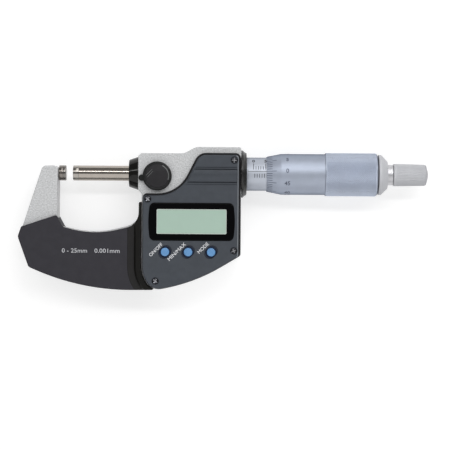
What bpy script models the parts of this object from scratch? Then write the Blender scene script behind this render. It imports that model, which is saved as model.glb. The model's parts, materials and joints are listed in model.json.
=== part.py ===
"""Digital outside micrometer, measuring range 0 to 25 mm.

Frame: the origin is the centre of the anvil's measuring face. +X runs along the
spindle towards the ratchet, +Y runs out of the throat, and +Z looks out of the
display. The instrument lies on its back, on the flat rear of the housing.
Units are metres.
"""

import math

import bmesh
import bpy
from mathutils import Vector

MM = 0.001

# Clearances
SEAT_GAP = 0.2 * MM        # between pieces that rest on or against each other
SLIDE_FIT = 0.1 * MM       # radial play of a shaft or shank in its hole
EDGE_REVEAL = 0.9 * MM     # width of gasket that shows round the cover

# Measuring line, along X
REST_OPENING = 2.9 * MM
SPINDLE_TRAVEL_OUT = 22.1 * MM
SPINDLE_TRAVEL_IN = 2.9 * MM
FACE_RADIUS = 3.175 * MM
ANVIL_TIP_LENGTH = 1.2 * MM
SPINDLE_TIP_LENGTH = 2.4 * MM
TIP_BEVEL = 0.15 * MM
ANVIL_DEPTH = 5.8 * MM     # how far the anvil's shank is let into the arm
ANVIL_SHANK_RADIUS = 2.2 * MM

# Frame
ARM_FACE_X = -3.1 * MM
ARM_TOP_Y = 2.9 * MM
ARM_TOP_WIDTH = 6.33 * MM
ARM_LEAN = 0.3254          # how far the outer edge moves out for each unit down
FRAME_HALF_DEPTH = 5.0 * MM
FRAME_EDGE_ROUND = 0.5 * MM
THROAT_LEFT_Y = -21.8 * MM
THROAT_LEFT_CORNER = 2.0 * MM
THROAT_MIDDLE_X = 12.4 * MM
THROAT_FLOOR_Y = -25.2 * MM
THROAT_BEND = 40.0 * MM
THROAT_RIGHT_X = 30.5 * MM
THROAT_RIGHT_Y = -20.7 * MM
THROAT_RIGHT_CORNER = 6.0 * MM

# Grips
GRIP_TOP_Y = -22.4 * MM
GRIP_SLOPE = 4.85 * MM     # fall of the grip's upper edge across the arm
GRIP_TIP_INSET = 0.35 * MM
GRIP_NOTCH = 2.25 * MM     # how far that edge reaches over the throat at its foot
GRIP_PROUD = 0.35 * MM     # outside the arm's own edge, at the top
GRIP_HEEL_PROUD = 0.45 * MM
GRIP_HEEL_Y = -26.5 * MM
GRIP_CORNER_X = -14.9 * MM
GRIP_CORNER_Y = -39.1 * MM
GRIP_LOW_X = 7.6 * MM
GRIP_LOW_Y = -48.6 * MM
GRIP_BEND = 98.0 * MM
GRIP_FOOT_X = 36.3 * MM
GRIP_FOOT_Y = -48.3 * MM
GRIP_END_Y = -12.0 * MM
GRIP_WALL = 0.9 * MM
GRIP_STEP = 1.0 * MM       # width of bare frame along the throat
GRIP_HALF_DEPTH = 7.0 * MM
GRIP_EDGE_ROUND = 0.7 * MM
GRIP_OVERLAP = 8.0 * MM     # part of the grip's form that the housing cuts off
BOW_OVERLAP = 5.0 * MM      # part of the bow's form that lies inside the housing
RAMP_LENGTH = 5.75 * MM
RAMP_HEIGHT = 2.2 * MM

# Housing, part of the frame casting
BOSS_X = 30.2 * MM
BOSS_TOP_Y = 8.25 * MM
BOSS_BOTTOM_Y = -6.9 * MM
BOSS_CHAMFER = 1.2 * MM
HOUSING_STEP = 1.5 * MM    # how far the housing's left side stands back from the boss
HOUSING_WIDTH = 41.05 * MM
HOUSING_TOP_Y = 10.95 * MM
HOUSING_SHOULDER_Y = -41.8 * MM
HOUSING_SHOULDER_BEND = 12.0 * MM
HOUSING_TOE_X = 35.9 * MM
HOUSING_TOE_Y = -48.67 * MM
HOUSING_TOE_BEND = 6.0 * MM
HOUSING_BELLY_X = 53.5 * MM
HOUSING_BELLY_Y = -45.5 * MM
HOUSING_SIDE_Y = -33.9 * MM
HOUSING_BEND = 75.0 * MM
RIM_Z = 7.0 * MM
REAR_Z = -10.0 * MM
REAR_EDGE_ROUND = 0.8 * MM
HOUSING_WALL = 1.8 * MM
FLOOR_THICKNESS = 1.6 * MM
BLOCK_LENGTH = 9.35 * MM   # solid part of the housing that holds the stem
CHAMBER_WIDTH = 6.8 * MM   # space round the encoder, left of that block
CHAMBER_TOP_Y = 6.1 * MM
LOWER_TOP_Y = -9.4 * MM    # top of the space under the cover
LEDGE_WIDTH = 0.7 * MM

# Cover, window and keys
GASKET_TOP_Y = 8.4 * MM
GASKET_WAIST_Y = -8.4 * MM
GASKET_SHOULDER_X = 55.2 * MM
GASKET_WAIST_X = 46.7 * MM
WAIST_BEND = 14.0 * MM
GASKET_INSET_LEFT = 0.45 * MM
GASKET_INSET_RIGHT = 0.35 * MM
GASKET_INSET_LOW = 0.2 * MM
GASKET_THICKNESS = 0.8 * MM
GASKET_WIDTH = 2.2 * MM
COVER_THICKNESS = 2.0 * MM
COVER_EDGE_ROUND = 0.6 * MM
COVER_PLATE = 1.5 * MM     # left over the pocket behind the cover
COVER_LIP = 1.8 * MM
COVER_SIDE_GAP = 0.15 * MM
BAND_LOW_Y = -3.9 * MM
BAND_HIGH_Y = 1.6 * MM
BAND_LEFT = 8.0 * MM        # start of the band's form, left of the gasket's waist
BAND_RISE = 0.5 * MM
BAND_SINK = 0.4 * MM       # how far the band's form reaches into the cover
GROOVE_WIDTH = 0.8 * MM
GROOVE_DEPTH = 0.3 * MM
WINDOW_Y = -20.05 * MM
WINDOW_SHIFT = 0.225 * MM  # to the right of the housing's middle
WINDOW_SIDE = 3.475 * MM   # housing left and right of the window
WINDOW_HALF_HEIGHT = 7.7 * MM
WINDOW_BULGE = 0.85 * MM
WINDOW_CORNER = 2.0 * MM
WINDOW_THICKNESS = 0.9 * MM
WINDOW_PROUD = 0.1 * MM
WINDOW_LEDGE = 2.4 * MM
GLASS_MARGIN = 0.8 * MM
GLASS_THICKNESS = 1.5 * MM
BOARD_THICKNESS = 1.0 * MM
KEY_Y = -32.5 * MM
KEY_SHIFT = -1.375 * MM    # from the window's middle
KEY_SPACING = 9.475 * MM
KEY_NAMES = ("left_button", "middle_button", "right_button")
KEY_RADIUS = 1.75 * MM
KEY_FLANGE = 0.75 * MM
KEY_FLANGE_THICKNESS = 0.6 * MM
KEY_PROUD = 0.3 * MM
KEY_PLAY = 0.15 * MM
KEY_DISH_WIDTH = 4.5 * MM
KEY_DISH_LENGTH = 6.1 * MM
KEY_DISH_DEPTH = 0.5 * MM
MAT_THICKNESS = 0.3 * MM
MAT_MARGIN = 3.6 * MM
SCREW_INSET_LEFT = 2.65 * MM
SCREW_INSET_RIGHT = 2.9 * MM
SCREW_INSET_TOE = 1.74 * MM
SCREW_DROP_LEFT = 2.4 * MM   # below the gasket's waist
SCREW_DROP_RIGHT = 3.0 * MM  # below the gasket's top
SCREW_RISE_SIDE = 2.0 * MM   # above the housing's lower right corner
SCREW_RISE_TOE = 4.17 * MM   # above the housing's toe
SCREW_HEAD_RADIUS = 1.3 * MM
SCREW_HEAD_HEIGHT = 0.8 * MM
SCREW_SHANK_RADIUS = 0.75 * MM
SCREW_LENGTH = 5.0 * MM
SCREW_SINK = 0.1 * MM
SCREW_SLOT = 0.35 * MM
SCREW_RECESS_DEPTH = 0.45 * MM
POST_RADIUS = 2.2 * MM
POST_STEP = 0.3 * MM

# Battery
BATTERY_SHIFT = -1.45 * MM  # from the window's middle
BATTERY_Y = -27.0 * MM
BATTERY_RADIUS = 5.8 * MM
BATTERY_HEIGHT = 5.4 * MM
HOLDER_WALL = 1.3 * MM
HOLDER_ROOF = 1.2 * MM
CAP_RADIUS = 6.8 * MM
CAP_THICKNESS = 1.25 * MM
CAP_SINK = 0.1 * MM
CAP_SLOT_WIDTH = 1.4 * MM
CAP_SLOT_DEPTH = 0.6 * MM
RING_WIRE = 0.3 * MM
CONTACT_WIRE = 0.25 * MM
CONTACT_COIL = 2.0 * MM
CONTACT_TURNS = 4
STRIP_WIDTH = 3.0 * MM
STRIP_THICKNESS = 0.3 * MM

# Spindle guide, clamp and encoder
WIPER_LENGTH = 3.9 * MM
WIPER_NOSE_RADIUS = 5.65 * MM
WIPER_BASE_RADIUS = 6.9 * MM
WIPER_SHANK_RADIUS = 4.5 * MM
WIPER_SHANK_LENGTH = 3.0 * MM
SEAL_RADIUS = 0.55 * MM
CLAMP_CENTRE = (38.1 * MM, -1.25 * MM)
CLAMP_RADIUS = 6.0 * MM
CLAMP_HEIGHT = 2.5 * MM
CLAMP_NUB_RADIUS = 1.15 * MM
CLAMP_NUB_REACH = 6.6 * MM
CLAMP_NUB_LOW = 0.2 * MM
CLAMP_SCREW_RADIUS = 2.0 * MM
CLAMP_SHOE_HEIGHT = 3.8 * MM
CLAMP_SHOE_LOW_Z = 1.2 * MM
KEYWAY_WIDTH = 1.2 * MM
KEYWAY_DEPTH = 0.8 * MM
KEY_PIN_RADIUS = 0.5 * MM
ROTOR_RADIUS = 5.6 * MM
ROTOR_THICKNESS = 0.8 * MM
BUSH_RADIUS = 4.6 * MM
BUSH_NOSE_RADIUS = 3.8 * MM
BUSH_LENGTH = 3.9 * MM
BUSH_NOSE_LENGTH = 1.2 * MM
STATOR_THICKNESS = 1.0 * MM
STATOR_BORE = 3.7 * MM

# Stem, sleeve and thimble
STEM_SHANK_RADIUS = 5.2 * MM
STEM_RADIUS = 6.0 * MM
STEM_END_GAP = 0.85 * MM   # left in the thimble when the faces touch
STEM_NUT_LENGTH = 13.8 * MM
STEM_NUT_RADIUS = 5.1 * MM
STEM_GUIDE_LENGTH = 3.25 * MM
STEM_SLOT_WIDTH = 0.6 * MM
STEM_SLOTS = 3
NUT_RING_LENGTH = 5.0 * MM
COLLAR_LENGTH = 1.95 * MM
COLLAR_RADIUS = 9.85 * MM
COLLAR_NOSE_RADIUS = 8.7 * MM
SLEEVE_WALL = 0.7 * MM
SLEEVE_END_GAP = 0.3 * MM
SPINDLE_GROUND_REACH = 4.35 * MM  # past the housing's right side at rest
SPINDLE_THREAD_RADIUS = 3.6 * MM
SPINDLE_RELIEF = 0.25 * MM
SPINDLE_RELIEF_LENGTH = 4.0 * MM
SPINDLE_CONE_LENGTH = 7.2 * MM
SPINDLE_CONE_END = 2.9 * MM
DRAW_HOLE_RADIUS = 1.6 * MM
DRAW_HOLE_DEPTH = 9.9 * MM
SLEEVE_SHOWN = 10.5 * MM   # housing's right side to the thimble's edge at rest
THIMBLE_PLAY = 0.15 * MM
THIMBLE_EDGE_WALL = 0.2 * MM
THIMBLE_BEVEL_LENGTH = 6.1 * MM
THIMBLE_RADIUS = 8.5 * MM
THIMBLE_PLAIN_LENGTH = 24.2 * MM
KNURL_RADIUS = 9.0 * MM
THIMBLE_LENGTH = 45.9 * MM
THIMBLE_END_WALL = 7.6 * MM
CONE_LEAD = 0.25 * MM      # the spindle's cone starts this far inside that wall
THIMBLE_CHAMFER = 0.4 * MM

# Ratchet
HUB_BOSS_RADIUS = 5.0 * MM
HUB_BOSS_LENGTH = 0.35 * MM
HUB_FLANGE_RADIUS = 8.4 * MM
HUB_FLANGE_LENGTH = 1.2 * MM
HUB_CONE_LENGTH = 2.65 * MM
HUB_CONE_RADIUS = 5.75 * MM
HUB_NECK_RADIUS = 4.275 * MM
HUB_NECK_LENGTH = 2.3 * MM
HUB_SHAFT_RADIUS = 2.0 * MM
HUB_SHAFT_LENGTH = 9.5 * MM
HUB_FLAT = 0.4 * MM
KNOB_RADIUS = 4.65 * MM
KNOB_END_RADIUS = 4.4 * MM
KNOB_LENGTH = 13.3 * MM
KNOB_WALL = 1.1 * MM
KNOB_FRONT_WALL = 1.5 * MM
KNOB_FLUTES = 20
KNOB_FLUTE_DEPTH = 0.18 * MM
CLICK_TEETH = 12
CLICK_TOOTH_HEIGHT = 0.5 * MM
CLICK_PLAY = 0.12 * MM
CLICK_RING_THICKNESS = 1.6 * MM
RATCHET_SPRING_COIL = 2.65 * MM
RATCHET_SPRING_WIRE = 0.3 * MM
RATCHET_SPRING_TURNS = 4
RATCHET_SCREW_HEAD = 1.2 * MM
RATCHET_SCREW_SHANK = 0.8 * MM
CAP_END_LENGTH = 1.1 * MM

# Smoothness
ARC_TOLERANCE = 0.06 * MM
FINE_STEPS = 24
MID_STEPS = 20
SMALL_STEPS = 16
TINY_STEPS = 10
EDGE_STEPS = 2
COIL_SIDES = 4
CLICK_STEPS = 3            # for each saw tooth

# Places that follow from the sizes above
HOUSING_LEFT = BOSS_X + HOUSING_STEP
HOUSING_RIGHT = HOUSING_LEFT + HOUSING_WIDTH
BLOCK_X = HOUSING_RIGHT - BLOCK_LENGTH
CHAMBER_X = BLOCK_X - CHAMBER_WIDTH
FLOOR_Z = REAR_Z + FLOOR_THICKNESS
GASKET_Z = RIM_Z + SEAT_GAP
COVER_BACK_Z = GASKET_Z + GASKET_THICKNESS + SEAT_GAP
COVER_FRONT_Z = COVER_BACK_Z + COVER_THICKNESS
POCKET_Z = COVER_FRONT_Z - COVER_PLATE
GLASS_Z = POCKET_Z - SEAT_GAP - GLASS_THICKNESS
BOARD_Z = GLASS_Z - SEAT_GAP - BOARD_THICKNESS
LEDGE_Z = BOARD_Z - SEAT_GAP
MAT_Z = BOARD_Z + BOARD_THICKNESS + SEAT_GAP
BORE_RADIUS = FACE_RADIUS + SLIDE_FIT
ARM_OUTER_X = ARM_FACE_X - ARM_TOP_WIDTH
GRIP_OUTSET = GRIP_WALL + SEAT_GAP
SPINDLE_X = REST_OPENING + SPINDLE_TIP_LENGTH + SEAT_GAP
GROUND_END_X = HOUSING_RIGHT + SPINDLE_GROUND_REACH
THREAD_X = GROUND_END_X + SPINDLE_RELIEF_LENGTH
THIMBLE_EDGE_X = HOUSING_RIGHT + SLEEVE_SHOWN
THIMBLE_END_X = THIMBLE_EDGE_X + THIMBLE_LENGTH
THIMBLE_WALL_X = THIMBLE_END_X - THIMBLE_END_WALL
CONE_X = THIMBLE_WALL_X - CONE_LEAD
SPINDLE_END_X = CONE_X + SPINDLE_CONE_LENGTH
STEM_END_X = THIMBLE_WALL_X - SPINDLE_TRAVEL_IN - STEM_END_GAP
NUT_X = STEM_END_X - STEM_NUT_LENGTH
SLEEVE_INNER = STEM_RADIUS + SEAT_GAP
SLEEVE_RADIUS = SLEEVE_INNER + SLEEVE_WALL
THIMBLE_BORE = SLEEVE_RADIUS + THIMBLE_PLAY
HUB_X = THIMBLE_END_X + SEAT_GAP
FLANGE_X = HUB_X + HUB_BOSS_LENGTH
NECK_X = FLANGE_X + HUB_FLANGE_LENGTH + HUB_CONE_LENGTH
SHAFT_X = NECK_X + HUB_NECK_LENGTH
KNOB_X = SHAFT_X + SEAT_GAP
KNOB_END_X = KNOB_X + KNOB_LENGTH
TEETH_X = KNOB_X + KNOB_FRONT_WALL
WINDOW_CENTRE = ((HOUSING_LEFT + HOUSING_RIGHT) / 2.0 + WINDOW_SHIFT, WINDOW_Y)
WINDOW_HALF_WIDTH = HOUSING_WIDTH / 2.0 - WINDOW_SIDE
KEY_MIDDLE_X = WINDOW_CENTRE[0] + KEY_SHIFT
KEY_X = (KEY_MIDDLE_X - KEY_SPACING, KEY_MIDDLE_X, KEY_MIDDLE_X + KEY_SPACING)
BATTERY_CENTRE = (WINDOW_CENTRE[0] + BATTERY_SHIFT, BATTERY_Y)
SCREW_PLACES = (
    (HOUSING_LEFT + SCREW_INSET_LEFT, GASKET_WAIST_Y - SCREW_DROP_LEFT),
    (HOUSING_RIGHT - SCREW_INSET_RIGHT, GASKET_TOP_Y - SCREW_DROP_RIGHT),
    (HOUSING_RIGHT - SCREW_INSET_RIGHT, HOUSING_SIDE_Y + SCREW_RISE_SIDE),
    (HOUSING_TOE_X + SCREW_INSET_TOE, HOUSING_TOE_Y + SCREW_RISE_TOE),
)

COLOURS = {
    "hammered paint": ((0.60, 0.61, 0.60), 0.45, 0.3),
    "ground steel": ((0.62, 0.60, 0.57), 0.18, 1.0),
    "carbide": ((0.42, 0.42, 0.43), 0.22, 1.0),
    "satin chrome": ((0.62, 0.65, 0.70), 0.30, 1.0),
    "grip plastic": ((0.055, 0.055, 0.062), 0.55, 0.0),
    "cover plastic": ((0.085, 0.095, 0.115), 0.50, 0.0),
    "black plastic": ((0.012, 0.012, 0.013), 0.30, 0.0),
    "rubber": ((0.015, 0.015, 0.015), 0.80, 0.0),
    "clear plastic": ((0.02, 0.02, 0.02), 0.08, 0.0),
    "display glass": ((0.36, 0.50, 0.42), 0.20, 0.0),
    "circuit board": ((0.02, 0.16, 0.07), 0.45, 0.0),
    "key plastic": ((0.13, 0.36, 0.68), 0.40, 0.0),
    "ratchet plastic": ((0.42, 0.42, 0.46), 0.35, 0.0),
    "brass": ((0.60, 0.42, 0.16), 0.30, 1.0),
    "dark steel": ((0.05, 0.05, 0.055), 0.35, 0.9),
}


def clear_scene():
    for item in list(bpy.data.objects):
        bpy.data.objects.remove(item, do_unlink=True)


def surface(kind):
    """Return the shared material of that kind, made on first use."""
    found = bpy.data.materials.get(kind)
    if found:
        return found
    colour, roughness, metallic = COLOURS[kind]
    made = bpy.data.materials.new(kind)
    made.use_nodes = True
    shader = made.node_tree.nodes["Principled BSDF"]
    shader.inputs["Base Color"].default_value = (*colour, 1.0)
    shader.inputs["Roughness"].default_value = roughness
    shader.inputs["Metallic"].default_value = metallic
    made.diffuse_color = (*colour, 1.0)
    return made


def add_object(name, bm, kind=None, place=(0.0, 0.0, 0.0)):
    """Put a finished bmesh in the scene, smooth, with its origin at place."""
    bmesh.ops.recalc_face_normals(bm, faces=bm.faces)
    mesh = bpy.data.meshes.new(name)
    bm.to_mesh(mesh)
    bm.free()
    mesh.shade_smooth()
    mesh.set_sharp_from_angle(angle=math.radians(30.0))
    made = bpy.data.objects.new(name, mesh)
    made.location = place
    bpy.context.scene.collection.objects.link(made)
    if kind:
        mesh.materials.append(surface(kind))
    else:
        made.hide_render = True
        made.display_type = "WIRE"
    return made


def combine(target, helper, operation):
    step = target.modifiers.new(helper.name, "BOOLEAN")
    step.operation = operation
    step.solver = "EXACT"
    step.object = helper


def cut(target, *helpers):
    for helper in helpers:
        combine(target, helper, "DIFFERENCE")


def edge_lines(corners, distances):
    """Each edge of a counter-clockwise outline, moved inwards by its distance."""
    lines = []
    for i, corner in enumerate(corners):
        start = Vector(corner[:2])
        along = (Vector(corners[(i + 1) % len(corners)][:2]) - start).normalized()
        inward = Vector((-along.y, along.x))
        lines.append((start + inward * distances[i], along))
    return lines


def offset_corners(corners, distances):
    """Corners (x, y, radius) of the outline whose edges all moved inwards."""
    count = len(corners)
    if not isinstance(distances, (list, tuple)):
        distances = [distances] * count
    lines = edge_lines(corners, distances)
    moved = []
    for i, corner in enumerate(corners):
        before, direction_before = lines[i - 1]
        after, direction_after = lines[i]
        turn = direction_before.cross(direction_after)
        reach = (after - before).cross(direction_after) / turn
        point = before + direction_before * reach
        shift = (distances[i - 1] + distances[i]) / 2.0
        radius = corner[2] - shift if turn > 0.0 else corner[2] + shift
        moved.append((point.x, point.y, max(radius, 0.0) if corner[2] else 0.0))
    return moved


def arc_reaches(corners):
    """How far each corner's arc takes up its two edges, shared out where they are short."""
    reaches = []
    turns = []
    for i, (x, y, radius) in enumerate(corners):
        to_before = Vector(corners[i - 1][:2]) - Vector((x, y))
        to_after = Vector(corners[(i + 1) % len(corners)][:2]) - Vector((x, y))
        turn = math.pi - to_before.angle(to_after)
        turns.append(turn)
        reaches.append(radius * math.tan(turn / 2.0) if turn > 0.01 else 0.0)
    for i in range(len(corners)):
        j = (i + 1) % len(corners)
        length = (Vector(corners[j][:2]) - Vector(corners[i][:2])).length
        wanted = reaches[i] + reaches[j]
        if wanted > 0.98 * length:
            reaches[i] *= 0.98 * length / wanted
            reaches[j] *= 0.98 * length / wanted
    return reaches, turns


def rounded(corners):
    """Outline of points, with each corner (x, y, radius) turned into an arc."""
    points = []
    reaches, turns = arc_reaches(corners)
    for i, (x, y, _) in enumerate(corners):
        reach, turn = reaches[i], turns[i]
        if reach <= 0.0:
            points.append((x, y))
            continue
        corner = Vector((x, y))
        to_before = (Vector(corners[i - 1][:2]) - corner).normalized()
        to_after = (Vector(corners[(i + 1) % len(corners)][:2]) - corner).normalized()
        radius = reach / math.tan(turn / 2.0)
        start = corner + to_before * reach
        middle = corner + (to_before + to_after).normalized() * (radius / math.cos(turn / 2.0))
        side = 1.0 if to_after.cross(to_before) > 0.0 else -1.0
        step = 2.0 * math.acos(max(0.0, 1.0 - ARC_TOLERANCE / radius))
        count = max(2, math.ceil(turn / step))
        arm = start - middle
        for k in range(count + 1):
            angle = side * turn * k / count
            points.append((
                middle.x + arm.x * math.cos(angle) - arm.y * math.sin(angle),
                middle.y + arm.x * math.sin(angle) + arm.y * math.cos(angle),
            ))
    return points


def inset_points(points, distance):
    """Move every point of a dense outline inwards, square to the outline."""
    moved = []
    for i, point in enumerate(points):
        here = Vector(point)
        before = (here - Vector(points[i - 1])).normalized()
        after = (Vector(points[(i + 1) % len(points)]) - here).normalized()
        normal_before = Vector((-before.y, before.x))
        normal_after = Vector((-after.y, after.x))
        miter = normal_before + normal_after
        scale = distance / max(0.2, (1.0 + normal_before.dot(normal_after)))
        moved.append((here.x + miter.x * scale, here.y + miter.y * scale))
    return moved


def quarter_round(face, radius, edge_steps):
    """(height, inset) pairs from a face to the full outline; a negative radius goes down."""
    pairs = []
    for k in range(edge_steps + 1):
        angle = math.pi / 2.0 * k / edge_steps
        inset = abs(radius) * (1.0 - math.sin(angle))
        pairs.append((face + radius * (1.0 - math.cos(angle)), inset))
    return pairs


def plate_mesh(points, low, high, round_low=0.0, round_high=0.0, edge_steps=EDGE_STEPS):
    """A plate of any outline between two heights, with quarter-round edges."""
    levels = quarter_round(low, round_low, edge_steps) if round_low else [(low, 0.0)]
    if round_high:
        levels += reversed(quarter_round(high, -round_high, edge_steps))
    else:
        levels.append((high, 0.0))
    bm = bmesh.new()
    rings = []
    for z, inset in levels:
        ring = inset_points(points, inset) if inset else points
        rings.append([bm.verts.new((x, y, z)) for x, y in ring])
    count = len(points)
    for lower, upper in zip(rings, rings[1:]):
        for i in range(count):
            j = (i + 1) % count
            bm.faces.new((lower[i], lower[j], upper[j], upper[i]))
    bm.faces.new(list(reversed(rings[0])))
    bm.faces.new(rings[-1])
    return bm


def plate(name, points, low, high, kind=None, **rounds):
    return add_object(name, plate_mesh(points, low, high, **rounds), kind)


def turned_mesh(profile, steps, axis="X", wave=None):
    """Revolve a closed profile of (along, radius) points round an axis.

    wave(point index, angle) may return (along, radius) amounts to add there.
    """
    bm = bmesh.new()
    rings = []
    for index, (along, radius) in enumerate(profile):
        ring = []
        for k in range(1 if radius <= 0.0 else steps):
            angle = 2.0 * math.pi * k / steps
            more_along, more_radius = wave(index, k) if wave and radius > 0.0 else (0.0, 0.0)
            reach = along + more_along
            across = (radius + more_radius) * math.cos(angle)
            up = (radius + more_radius) * math.sin(angle)
            ring.append(bm.verts.new((reach, across, up) if axis == "X" else (across, up, reach)))
        rings.append(ring)
    for i, first in enumerate(rings):
        second = rings[(i + 1) % len(rings)]
        if len(first) == 1 and len(second) == 1:
            continue
        for k in range(steps):
            m = (k + 1) % steps
            if len(first) == 1:
                bm.faces.new((first[0], second[k], second[m]))
            elif len(second) == 1:
                bm.faces.new((first[k], second[0], first[m]))
            else:
                bm.faces.new((first[k], second[k], second[m], first[m]))
    return bm


def turned(name, profile, steps, kind=None, axis="X", place=(0.0, 0.0, 0.0), wave=None):
    return add_object(name, turned_mesh(profile, steps, axis, wave), kind, place)


def wire_section(along, radius, wire):
    """Six-sided section of a ring of round wire."""
    return [
        (along + wire * math.sin(math.pi * k / 3.0), radius + wire * math.cos(math.pi * k / 3.0))
        for k in range(6)
    ]


def rod(name, radius, start, end, steps=SMALL_STEPS, kind=None, axis="X", place=(0.0, 0.0, 0.0)):
    profile = [(start, 0.0), (start, radius), (end, radius), (end, 0.0)]
    return turned(name, profile, steps, kind, axis, place)


def box(name, low, high, kind=None, place=(0.0, 0.0, 0.0), turn=0.0):
    """A block between two corners, turned about Z round its place."""
    points = [(low[0], low[1]), (high[0], low[1]), (high[0], high[1]), (low[0], high[1])]
    made = add_object(name, plate_mesh(points, low[2], high[2]), kind, place)
    made.rotation_euler.z = turn
    return made


def coil(name, radius, wire, turns, start, end, kind, axis, place=(0.0, 0.0, 0.0)):
    """A round-wire compression spring whose wire ends are closed flat."""
    bm = bmesh.new()
    sides = COIL_SIDES
    per_turn = TINY_STEPS
    count = turns * per_turn
    first = start + wire
    last = end - wire
    rings = []
    for k in range(count + 1):
        angle = 2.0 * math.pi * k / per_turn
        along = first + (last - first) * k / count
        ring = []
        for s in range(sides):
            around = 2.0 * math.pi * s / sides
            reach = radius + wire * math.cos(around)
            level = along + wire * math.sin(around)
            across, up = reach * math.cos(angle), reach * math.sin(angle)
            ring.append(bm.verts.new((level, across, up) if axis == "X" else (across, up, level)))
        rings.append(ring)
    for before, after in zip(rings, rings[1:]):
        for s in range(sides):
            t = (s + 1) % sides
            bm.faces.new((before[s], before[t], after[t], after[s]))
    bm.faces.new(rings[0])
    bm.faces.new(rings[-1])
    return add_object(name, bm, kind, place)


def arm_edge_x(y):
    """X of the arm's leaning outer edge at a height."""
    return ARM_OUTER_X + (y - ARM_TOP_Y) * ARM_LEAN


def housing_corners():
    return [
        (HOUSING_RIGHT, HOUSING_TOP_Y, 0.9 * MM),
        (GASKET_SHOULDER_X - 1.05 * MM, HOUSING_TOP_Y, 5.0 * MM),
        (GASKET_WAIST_X + 2.4 * MM, BOSS_TOP_Y, 5.0 * MM),
        (BOSS_X + BOSS_CHAMFER, BOSS_TOP_Y, 0.0),
        (BOSS_X, BOSS_TOP_Y - BOSS_CHAMFER, 0.0),
        (BOSS_X, BOSS_BOTTOM_Y, 0.0),
        (HOUSING_LEFT, BOSS_BOTTOM_Y - 1.7 * MM, 0.0),
        (HOUSING_LEFT, HOUSING_SHOULDER_Y, HOUSING_SHOULDER_BEND),
        (HOUSING_TOE_X, HOUSING_TOE_Y, HOUSING_TOE_BEND),
        (HOUSING_BELLY_X, HOUSING_BELLY_Y, HOUSING_BEND),
        (HOUSING_RIGHT, HOUSING_SIDE_Y, 1.6 * MM),
    ]


def gasket_corners():
    """Outer edge of the gasket: an S above, the housing's own line below."""
    left = HOUSING_LEFT + GASKET_INSET_LEFT
    right = HOUSING_RIGHT - GASKET_INSET_RIGHT
    toe = (HOUSING_TOE_X + GASKET_INSET_RIGHT, HOUSING_TOE_Y + GASKET_INSET_LOW)
    return [
        (right, GASKET_TOP_Y, 2.2 * MM),
        (GASKET_SHOULDER_X, GASKET_TOP_Y, 5.0 * MM),
        (GASKET_WAIST_X, GASKET_WAIST_Y, WAIST_BEND),
        (left, GASKET_WAIST_Y, 1.8 * MM),
        (left, HOUSING_SHOULDER_Y, HOUSING_SHOULDER_BEND),
        (*toe, HOUSING_TOE_BEND),
        (HOUSING_BELLY_X, HOUSING_BELLY_Y + GASKET_INSET_LOW, HOUSING_BEND),
        (right, HOUSING_SIDE_Y, 1.6 * MM),
    ]


def cover_corners():
    reveals = [EDGE_REVEAL] * 3 + [COVER_SIDE_GAP] * 4 + [EDGE_REVEAL]
    return offset_corners(gasket_corners(), reveals)


def grip_corners():
    """Outer edge of a grip; its right end is later cut back to the housing."""
    hidden_x = HOUSING_LEFT + GRIP_OVERLAP
    side_x = THROAT_RIGHT_X + 0.05 * MM
    return [
        (hidden_x, GRIP_END_Y + 0.8 * MM, 0.0),
        (side_x, GRIP_END_Y, 0.0),
        (side_x, THROAT_RIGHT_Y - GRIP_STEP, THROAT_RIGHT_CORNER + 0.5 * MM),
        (THROAT_MIDDLE_X, THROAT_FLOOR_Y - GRIP_STEP, THROAT_BEND),
        (ARM_FACE_X + GRIP_NOTCH, THROAT_LEFT_Y - GRIP_STEP, THROAT_LEFT_CORNER),
        (ARM_FACE_X - GRIP_TIP_INSET, GRIP_TOP_Y + GRIP_SLOPE, 0.8 * MM),
        (arm_edge_x(GRIP_TOP_Y) - GRIP_PROUD, GRIP_TOP_Y, 0.8 * MM),
        (arm_edge_x(GRIP_HEEL_Y) - GRIP_HEEL_PROUD, GRIP_HEEL_Y, 2.4 * MM),
        (GRIP_CORNER_X, GRIP_CORNER_Y, 2.0 * MM),
        (GRIP_LOW_X, GRIP_LOW_Y, GRIP_BEND),
        (GRIP_FOOT_X, GRIP_FOOT_Y, 0.0),
        (hidden_x, GRIP_FOOT_Y + 3.6 * MM, 0.0),
    ]


def frame_corners():
    """Edge of the C: the arm, the bow inside the grips, and the throat."""
    heel_x = arm_edge_x(GRIP_HEEL_Y) - GRIP_HEEL_PROUD
    hidden_x = HOUSING_LEFT + BOW_OVERLAP
    step_y = GRIP_TOP_Y - SEAT_GAP
    return [
        (hidden_x, GRIP_END_Y - 0.2 * MM, 0.0),
        (THROAT_RIGHT_X + 0.1 * MM, GRIP_END_Y - 1.4 * MM, 0.0),
        (THROAT_RIGHT_X, THROAT_RIGHT_Y, THROAT_RIGHT_CORNER),
        (THROAT_MIDDLE_X, THROAT_FLOOR_Y, THROAT_BEND),
        (ARM_FACE_X, THROAT_LEFT_Y, THROAT_LEFT_CORNER),
        (ARM_FACE_X, ARM_TOP_Y, 1.6 * MM),
        (ARM_OUTER_X, ARM_TOP_Y, 2.0 * MM),
        (arm_edge_x(GRIP_TOP_Y + SEAT_GAP), GRIP_TOP_Y + SEAT_GAP, 0.0),
        (arm_edge_x(GRIP_TOP_Y) + GRIP_OUTSET, step_y, 0.0),
        (heel_x + GRIP_OUTSET * 1.1, GRIP_HEEL_Y + 0.1 * MM, 1.6 * MM),
        (GRIP_CORNER_X + GRIP_OUTSET, GRIP_CORNER_Y + GRIP_OUTSET * 0.8, 1.6 * MM),
        (GRIP_LOW_X, GRIP_LOW_Y + GRIP_OUTSET, GRIP_BEND),
        (hidden_x, GRIP_FOOT_Y + GRIP_OUTSET, 0.0),
    ]


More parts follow.
